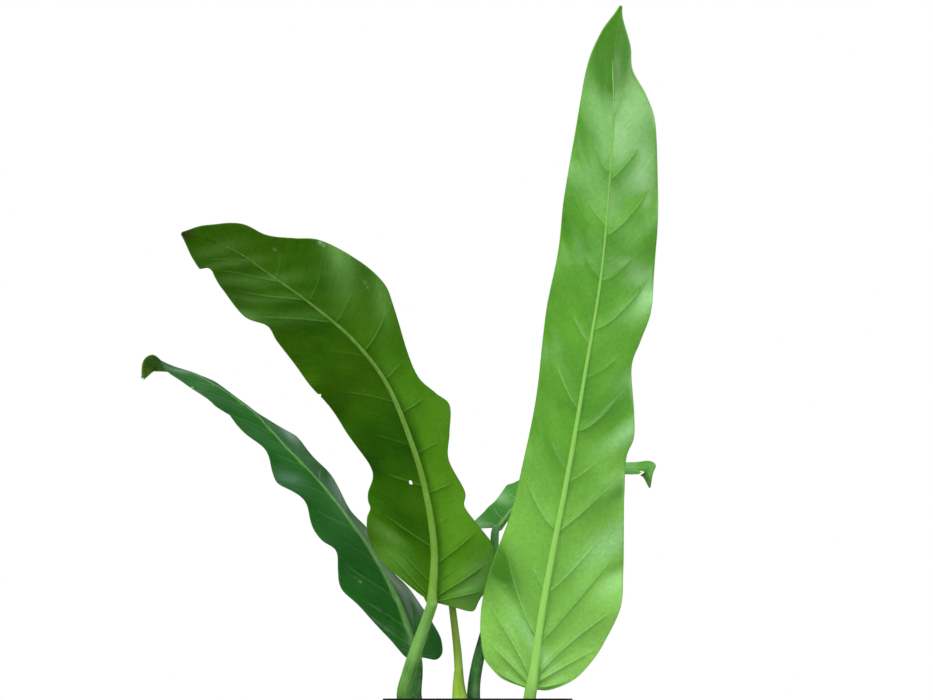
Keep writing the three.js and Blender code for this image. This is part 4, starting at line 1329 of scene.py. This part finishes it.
def drainHolesTree():
    # bores a circle of round holes through the pot's floor
    tree, names, bench, given, out = newGeometryTree("drainHoles", {
        "Holes": "Int", "Circle": "Float", "Radius": "Float", "Depth": "Float", "Sides": "Int",
    })
    ring = bench.wire("GeometryNodeMeshCircle", {"Vertices": given["Holes"], "Radius": given["Circle"]})
    punch = bench.wire("GeometryNodeMeshCylinder", {
        "Vertices": given["Sides"], "Radius": given["Radius"], "Depth": given["Depth"],
    })
    placed = bench.wire("GeometryNodeInstanceOnPoints", {"Points": ring, "Instance": punch})
    real = bench.wire("GeometryNodeRealizeInstances", {"Geometry": placed})
    bored = bench.wire("GeometryNodeMeshBoolean", {0: given["Geometry"], 1: real}, operation="DIFFERENCE")
    bench.feed(out["Geometry"], bored)
    return tree, names


def potMaterial():
    material, bench, shader = newMaterial("blackPlastic", {"Specular IOR Level": 0.25})
    place = bench.place()
    grain = bench.noise(place, 900.0, 3.0, 0.6)
    smudge = bench.noise(place, 38.0, 4.0, 0.6)
    drips = bench.noise(bench.scaled(place, (60, 60, 9)), 1.0, 3.0, 0.55)
    turned = bench.wire("ShaderNodeTexWave", {
        "Vector": bench.scaled(place, (0, 0, 1)), "Scale": 160.0,
    }, "Fac", bands_direction="Z")
    dust = bench.ramp(drips, 0.52, 0.74) * bench.ramp(bench.split(place)[2], 0.06, 0.0, 0.12, 0.4)
    colour = bench.layered(srgb(12, 12, 13), [
        (bench.ramp(smudge, 0.4, 0.75), srgb(22, 22, 23)), (dust, srgb(110, 98, 82)),
    ])
    dressShader(bench, shader, colour, smudge * 0.25 + 0.34, turned * 0.25 + grain * 0.5, 0.08)
    return material


def potProfile():
    # from the middle of the underside out, up over the rim, and down inside to the middle of the floor
    p = potShape
    rim, top, foot = p["rimRadius"], p["bodyTopRadius"], p["footRadius"]
    height, wall = p["height"], p["wall"]
    lip, step = wall / 2, height - p["rimBand"]
    inside, footInner = p["recess"] + p["floor"], foot - p["footWidth"]
    low, high = p["bandEnds"]
    profile = [(0, 0), (p["padRadius"], 0), (p["padRadius"] + p["recess"], p["recess"]),
               (footInner - p["recess"], p["recess"]), (footInner, 0)]
    profile += arc((foot - p["footRound"], p["footRound"]), p["footRound"], -90, 0)
    profile += arc((top + p["stepOut"], step + p["stepUp"]), p["stepRound"], 180, 95)
    profile += arc((rim - p["stepRound"], step + p["bandUp"]), p["stepRound"], -85, 0)
    profile += [(rim - p["bandInset"], step + low), (rim - p["bandInset"], height - high)]
    profile += arc((rim - lip, height - lip), lip, 0, 180, p["lipSteps"])
    profile += [(rim - wall, height - p["lipDepth"])]
    profile += arc((rim - wall - p["ledgeRound"], step + p["ledgeUp"]), p["ledgeRound"], 0, -80)
    profile += arc((top - wall + p["shoulderRound"], step + p["shoulderUp"]), p["shoulderRound"], 100, 180)
    profile += [(foot - wall + out, inside + up) for out, up in p["insideFoot"]]
    return profile + [(0, inside)]


def makePot():
    p, profile = potShape, potProfile()
    sides = p["sides"]
    radius, height = np.array(profile[1:-1]).T
    x, y = turnedRings(radius, sides)
    rings = np.stack([x, y, np.broadcast_to(height[:, None], x.shape)], -1).reshape(-1, 3)
    faces = loftFaces(len(radius), sides)[:-2]
    last, middle = len(rings) - sides, len(rings)
    for j in range(sides):
        after = (j + 1) % sides
        faces += [(after, j, middle), (last + j, last + after, middle + 1)]
    points = np.vstack([rings, [(0, 0, z) for _, z in (profile[0], profile[-1])]])
    material = potMaterial()
    blank = outward(makePiece("potBlank", points, faces, [material]))
    piece = grownPiece("nurseryPot", blank, *drainHolesTree(), {
        "Holes": p["holes"], "Circle": p["holeCircle"] * mm, "Radius": p["holeRadius"] * mm,
        "Depth": p["punchDepth"] * mm, "Sides": p["holeSides"],
    })
    bpy.data.objects.remove(blank)
    piece.data.materials.clear()
    piece.data.materials.append(material)
    setSmooth(piece.data, True)
    piece.data.set_sharp_from_angle(angle=math.radians(p["sharpAngle"]))
    finishPiece(piece, ["pot"])


makePot()
print("pot done")


# The potting mix: a crumbly body with bark, grit, crumbs and fibres strewn over its top

mixShape = {
    "top": 97, "waves": 1.3, "rings": 90, "sides": 220, "reachRadius": 62.2, "centreRadius": 0.6,
    "edgeStep": 0.4, "edgeDrop": 1.5, "floorZ": 4.1, "floorRadius": 44.2, "seed": 31,
    "hollows": (8, 9), "furrows": (3.7, 5.1), "grain": 0.9, "grainScale": 0.35, "clods": 0.5,
    "clodScale": 1.3,
}
strewArea = {"inset": 2.2, "centreRadius": 0.8, "rings": 24, "sides": 60}
strewn = [
    {"name": "crumbs", "density": 185000, "seed": 3, "low": 0.7, "high": 1.7, "lift": 0.3, "lean": 3.1,
     "shape": (1.0, 0.85, 0.7), "rough": 0.3, "split": 1, "kinds": 3},
    {"name": "barkChips", "density": 34000, "seed": 8, "low": 2.4, "high": 5.8, "lift": 0.9, "lean": 0.7,
     "shape": (1.0, 0.62, 0.34), "rough": 0.3, "split": 2, "kinds": 5},
    {"name": "grit", "density": 13500, "seed": 12, "low": 1.0, "high": 2.3, "lift": 1.4, "lean": 3.1,
     "shape": (1.0, 0.9, 0.8), "rough": 0.22, "split": 2, "kinds": 4},
]
stoneFacets = {"count": 5, "out": 0.36}
fibres = {
    "name": "fibres", "density": 8500, "seed": 15, "low": 0.8, "high": 1.7, "lift": 1.6, "lean": 0.3,
    "length": 9.0, "radius": 0.14, "steps": 9, "sides": 4, "kinds": 4, "bend": 0.35, "rise": 0.25,
    "curl": 1.7,
}
grainLooks = {
    "mixBody": {"colours": ((34, 24, 17), (58, 42, 30)), "scale": 500.0, "rough": 0.9, "bump": 0.5},
    "crumbs": {"colours": ((40, 28, 19), (84, 62, 42)), "scale": 700.0, "rough": 0.9, "bump": 0.3},
    "barkChips": {"colours": ((70, 44, 28), (140, 96, 62)), "scale": 260.0, "rough": 0.75, "bump": 0.5},
    "grit": {"colours": ((206, 202, 192), (240, 238, 230)), "scale": 600.0, "rough": 0.85, "bump": 0.4},
    "fibres": {"colours": ((104, 74, 44), (160, 122, 78)), "scale": 500.0, "rough": 0.8, "bump": 0.1},
}


def grainMaterial(name):
    look = grainLooks[name]
    material, bench, shader = newMaterial(name + "Finish", {"Specular IOR Level": 0.3})
    place = bench.place()
    grain = bench.noise(place, look["scale"], 4.0, 0.6)
    stretched = bench.noise(bench.scaled(place, (1, 0.3, 1)), look["scale"] * 1.7, 3.0, 0.6)
    tone = bench.attribute("tone") * 0.5 + grain * 0.6
    colour = bench.mix(bench.ramp(tone, 0.2, 0.9), *(srgb(*tint) for tint in look["colours"]))
    colour = bench.mix(bench.ramp(stretched, 0.55, 0.7, 0.0, 0.5), colour, bench.mix(0.45, colour, black))
    dressShader(bench, shader, colour, grain * 0.15 + (look["rough"] - 0.1), grain + stretched, look["bump"])
    return material


def mixHeight(x, y):
    (a, b), (c, d) = mixShape["hollows"], mixShape["furrows"]
    waves = np.sin(x / a + 1) * np.cos(y / b) + 0.5 * np.sin(x / c + y / d)
    return mixShape["top"] + mixShape["waves"] * waves


def makeMixBody():
    m = mixShape
    inward = np.linspace(m["reachRadius"] - m["edgeStep"], m["centreRadius"], m["rings"])
    x, y = turnedRings(np.concatenate([[m["floorRadius"], m["reachRadius"]], inward]), m["sides"])
    z = mixHeight(x, y)
    for index in np.ndindex(z[1:].shape):
        spot = Vector((x[1:][index], y[1:][index], m["seed"]))
        z[1:][index] += m["grain"] * noise.noise(spot * m["grainScale"])
        z[1:][index] += m["clods"] * abs(noise.noise(spot * m["clodScale"]))
    z[1] -= m["edgeDrop"]
    z[0] = m["floorZ"]
    piece = makePiece("pottingMix", np.stack([x, y, z], -1).reshape(-1, 3), loftFaces(*z.shape),
                      [grainMaterial("mixBody")])
    finishPiece(outward(piece), ["potting_mix"])


def roughStone(name, spec, seed):
    # a small irregular lump, one millimetre long, as a pattern for strewing
    work = bmesh.new()
    bmesh.ops.create_icosphere(work, subdivisions=spec["split"], radius=0.5)
    spread = np.random.default_rng(seed)
    planes = unit(spread.normal(size=(stoneFacets["count"], 3)))
    for vert in work.verts:
        place = np.array(vert.co)
        for plane in planes:  # cut flat facets
            place = place - plane * max(place @ plane - stoneFacets["out"], 0)
        place = place * (1 + spec["rough"] * 0.5 * spread.normal())
        vert.co = Vector(place * spec["shape"]) * mm
    mesh = bpy.data.meshes.new(name)
    work.to_mesh(mesh)
    work.free()
    return bpy.data.objects.new(name, mesh)


def fibrePattern(name, spec, seed):
    bends = np.cumsum(np.random.default_rng(seed).normal(scale=spec["bend"], size=spec["steps"]))
    steps = np.stack([np.cos(bends), np.sin(bends), spec["rise"] * np.sin(bends * spec["curl"])], -1)
    steps = spec["length"] / spec["steps"] * steps
    centres = np.cumsum(steps, axis=0) - steps.sum(axis=0) / 2
    across, deep = stalkFrames(centres)
    radius, angle = spec["radius"], roundAngles(spec["sides"])[None, :]
    rings = ringPoints(centres, across, deep, radius, radius, angle)
    mesh = bpy.data.meshes.new(name)
    mesh.from_pydata((rings.reshape(-1, 3) * mm).tolist(), [], loftFaces(spec["steps"], spec["sides"]))
    return bpy.data.objects.new(name, mesh)


def strew(spec, makePattern, surface, tree, names):
    name = spec["name"]
    patterns = [makePattern(f"{name}{k}", spec, spec["seed"] + k) for k in range(spec["kinds"])]
    box = bpy.data.collections.new(name + "Patterns")
    for pattern in patterns:
        box.objects.link(pattern)
    piece = grownPiece(name, surface, tree, names, {
        "Pieces": box, "Density": float(spec["density"]), "Seed": spec["seed"], "Smallest": spec["low"],
        "Largest": spec["high"], "Lift": spec["lift"] * mm, "Lean": spec["lean"],
        "Material": grainMaterial(name),
    })
    for pattern in patterns:
        bpy.data.objects.remove(pattern)
    bpy.data.collections.remove(box)
    setSmooth(piece.data, name == "fibres")
    finishPiece(outward(piece), [])
    print(name, len(piece.data.polygons), "faces")


def strewSurface():
    # the part of the mix's top that pieces are strewn on, clear of the pot's wall
    s = strewArea
    radius = np.linspace(mixShape["reachRadius"] - s["inset"], s["centreRadius"], s["rings"])
    x, y = turnedRings(radius, s["sides"])
    points = np.stack([x, y, mixHeight(x, y)], -1).reshape(-1, 3)
    return outward(makePiece("strewSurface", points, loftFaces(*x.shape)[:-2], []))


makeMixBody()
surface = strewSurface()
strewing = scatterTree()
for spec, makePattern in [(spec, roughStone) for spec in strewn] + [(fibres, fibrePattern)]:
    strew(spec, makePattern, surface, *strewing)
bpy.data.objects.remove(surface)
print("potting mix done")


# The floor, the light and the camera

studio = {
    "floorSize": 30.0, "floorColour": (0.5, 0.5, 0.49, 1), "floorPatch": 0.9, "skyColour": (1, 1, 1, 1),
    "skyStrength": 1.0, "skyRise": (-0.2, 0.9), "fill": (0.1, 0.56), "mirrored": (0.04, 0.34),
    "mirroredColour": (0.86, 0.9, 1.0, 1), "lightAim": (0, 0, 0.33),
}
# Each light's place, width and power in watts. The soft lights brighten matt surfaces, and the sheen lights
# are seen only where a glossy face mirrors them.
softLights = {
    "keyLight": ((-1.3, -1.5, 2.0), 1.0, 44.0),
    "frontLight": ((0.5, -2.3, 0.6), 0.8, 5.0),
    "rightLight": ((1.6, -0.9, 1.0), 1.2, 10.0),
    "backLight": ((0.3, 1.8, 1.6), 1.6, 16.0),
}
sheenLights = {
    "frontLeftSheen": ((-0.4, -2.3, 0.62), 0.5, 7.0),
    "frontRightSheen": ((1.2, -2.0, 0.62), 0.6, 14.0),
    "leftSheen": ((-1.5, -0.9, 1.6), 0.8, 3.0),
    "topSheen": ((-0.6, 0.9, 2.0), 0.9, 3.0),
    "backSheen": ((0.85, 1.85, 0.75), 0.9, 1.5),
}


def makeFloor():
    half = studio["floorSize"] / 2 / mm
    corners = [(-half, -half, 0), (half, -half, 0), (half, half, 0), (-half, half, 0)]
    material, bench, shader = newMaterial("studioFloor", {"Roughness": 0.8, "Specular IOR Level": 0.2})
    shade = bench.noise(bench.place(), 3.0, 3.0)
    colour = studio["floorColour"]
    darker = tuple(studio["floorPatch"] * c for c in colour[:3]) + (1,)
    bench.feed(shader.inputs["Base Color"], bench.mix(bench.ramp(shade, 0.3, 0.7, 0.0, 0.5), colour, darker))
    piece = makePiece("floor", corners, [(0, 1, 2, 3)], [material], smooth=False)


def makeSky():
    # plain white to the camera, a soft dome to matt faces, and a dimmer, cooler one to glossy faces
    world = bpy.data.worlds.new("studioSky")
    bpy.context.scene.world = world
    world.use_nodes = True
    bench = NodeBench(world.node_tree)
    background = world.node_tree.nodes["Background"]
    ray = bench.add("ShaderNodeLightPath").outputs
    glossy, seen = Wire(bench, ray["Is Glossy Ray"]), Wire(bench, ray["Is Camera Ray"])
    height = bench.split(bench.wire("ShaderNodeTexCoord", None, "Generated"))[2]
    strength, mirrored = (bench.ramp(height, *studio["skyRise"], *studio[k]) for k in ("fill", "mirrored"))
    for chosen, value in ((glossy, mirrored), (seen, studio["skyStrength"])):
        strength = bench.wire("ShaderNodeMix", {0: chosen, 2: strength, 3: value}, data_type="FLOAT")
    bench.feed(background.inputs["Color"], bench.mix(glossy, studio["skyColour"], studio["mirroredColour"]))
    bench.feed(background.inputs["Strength"], strength)


def addLight(name, place, size, power, mirrored):
    data = bpy.data.lights.new(name, "AREA")
    data.shape = "DISK"
    data.size = size
    data.energy = power
    lamp = placeObject(name, data)
    lamp.location = place
    aim = Vector(studio["lightAim"]) - lamp.location
    lamp.rotation_euler = aim.to_track_quat("-Z", "Y").to_euler()
    lamp.visible_camera = False
    lamp.visible_glossy = mirrored
    lamp.visible_diffuse = not mirrored


# The photograph's view: a pixel is 0.747 mm at the pot's middle, and the rim is edge-on near the lower edge.
photoView = {
    "width": 933, "height": 700, "lens": 85.0, "sensor": 36.0, "pixelSize": 0.747, "potColumn": 477.5,
    "horizonRow": 699.7, "rimHeight": 120.0, "belowRim": 0.9,
}


def makeCamera():
    view = photoView
    focal = view["lens"] / view["sensor"] * view["width"]  # in pixels
    sideways = -(view["potColumn"] - view["width"] / 2) * view["pixelSize"]
    data = bpy.data.cameras.new("photoCamera")
    data.lens = view["lens"]
    data.sensor_width = view["sensor"]
    camera = placeObject("photoCamera", data)
    height = view["rimHeight"] - view["belowRim"]
    camera.location = Vector((sideways, -view["pixelSize"] * focal, height)) * mm
    pitch = math.atan((view["horizonRow"] - view["height"] / 2) / focal)
    camera.rotation_euler = (math.pi / 2 + pitch, 0, 0)
    bpy.context.scene.camera = camera


makeFloor()
makeSky()
for lightSet, mirrored in ((softLights, False), (sheenLights, True)):
    for name, settings in lightSet.items():
        addLight(name, *settings, mirrored)
makeCamera()
bpy.context.scene.view_settings.view_transform = "Standard"
bpy.context.scene.view_settings.look = "None"
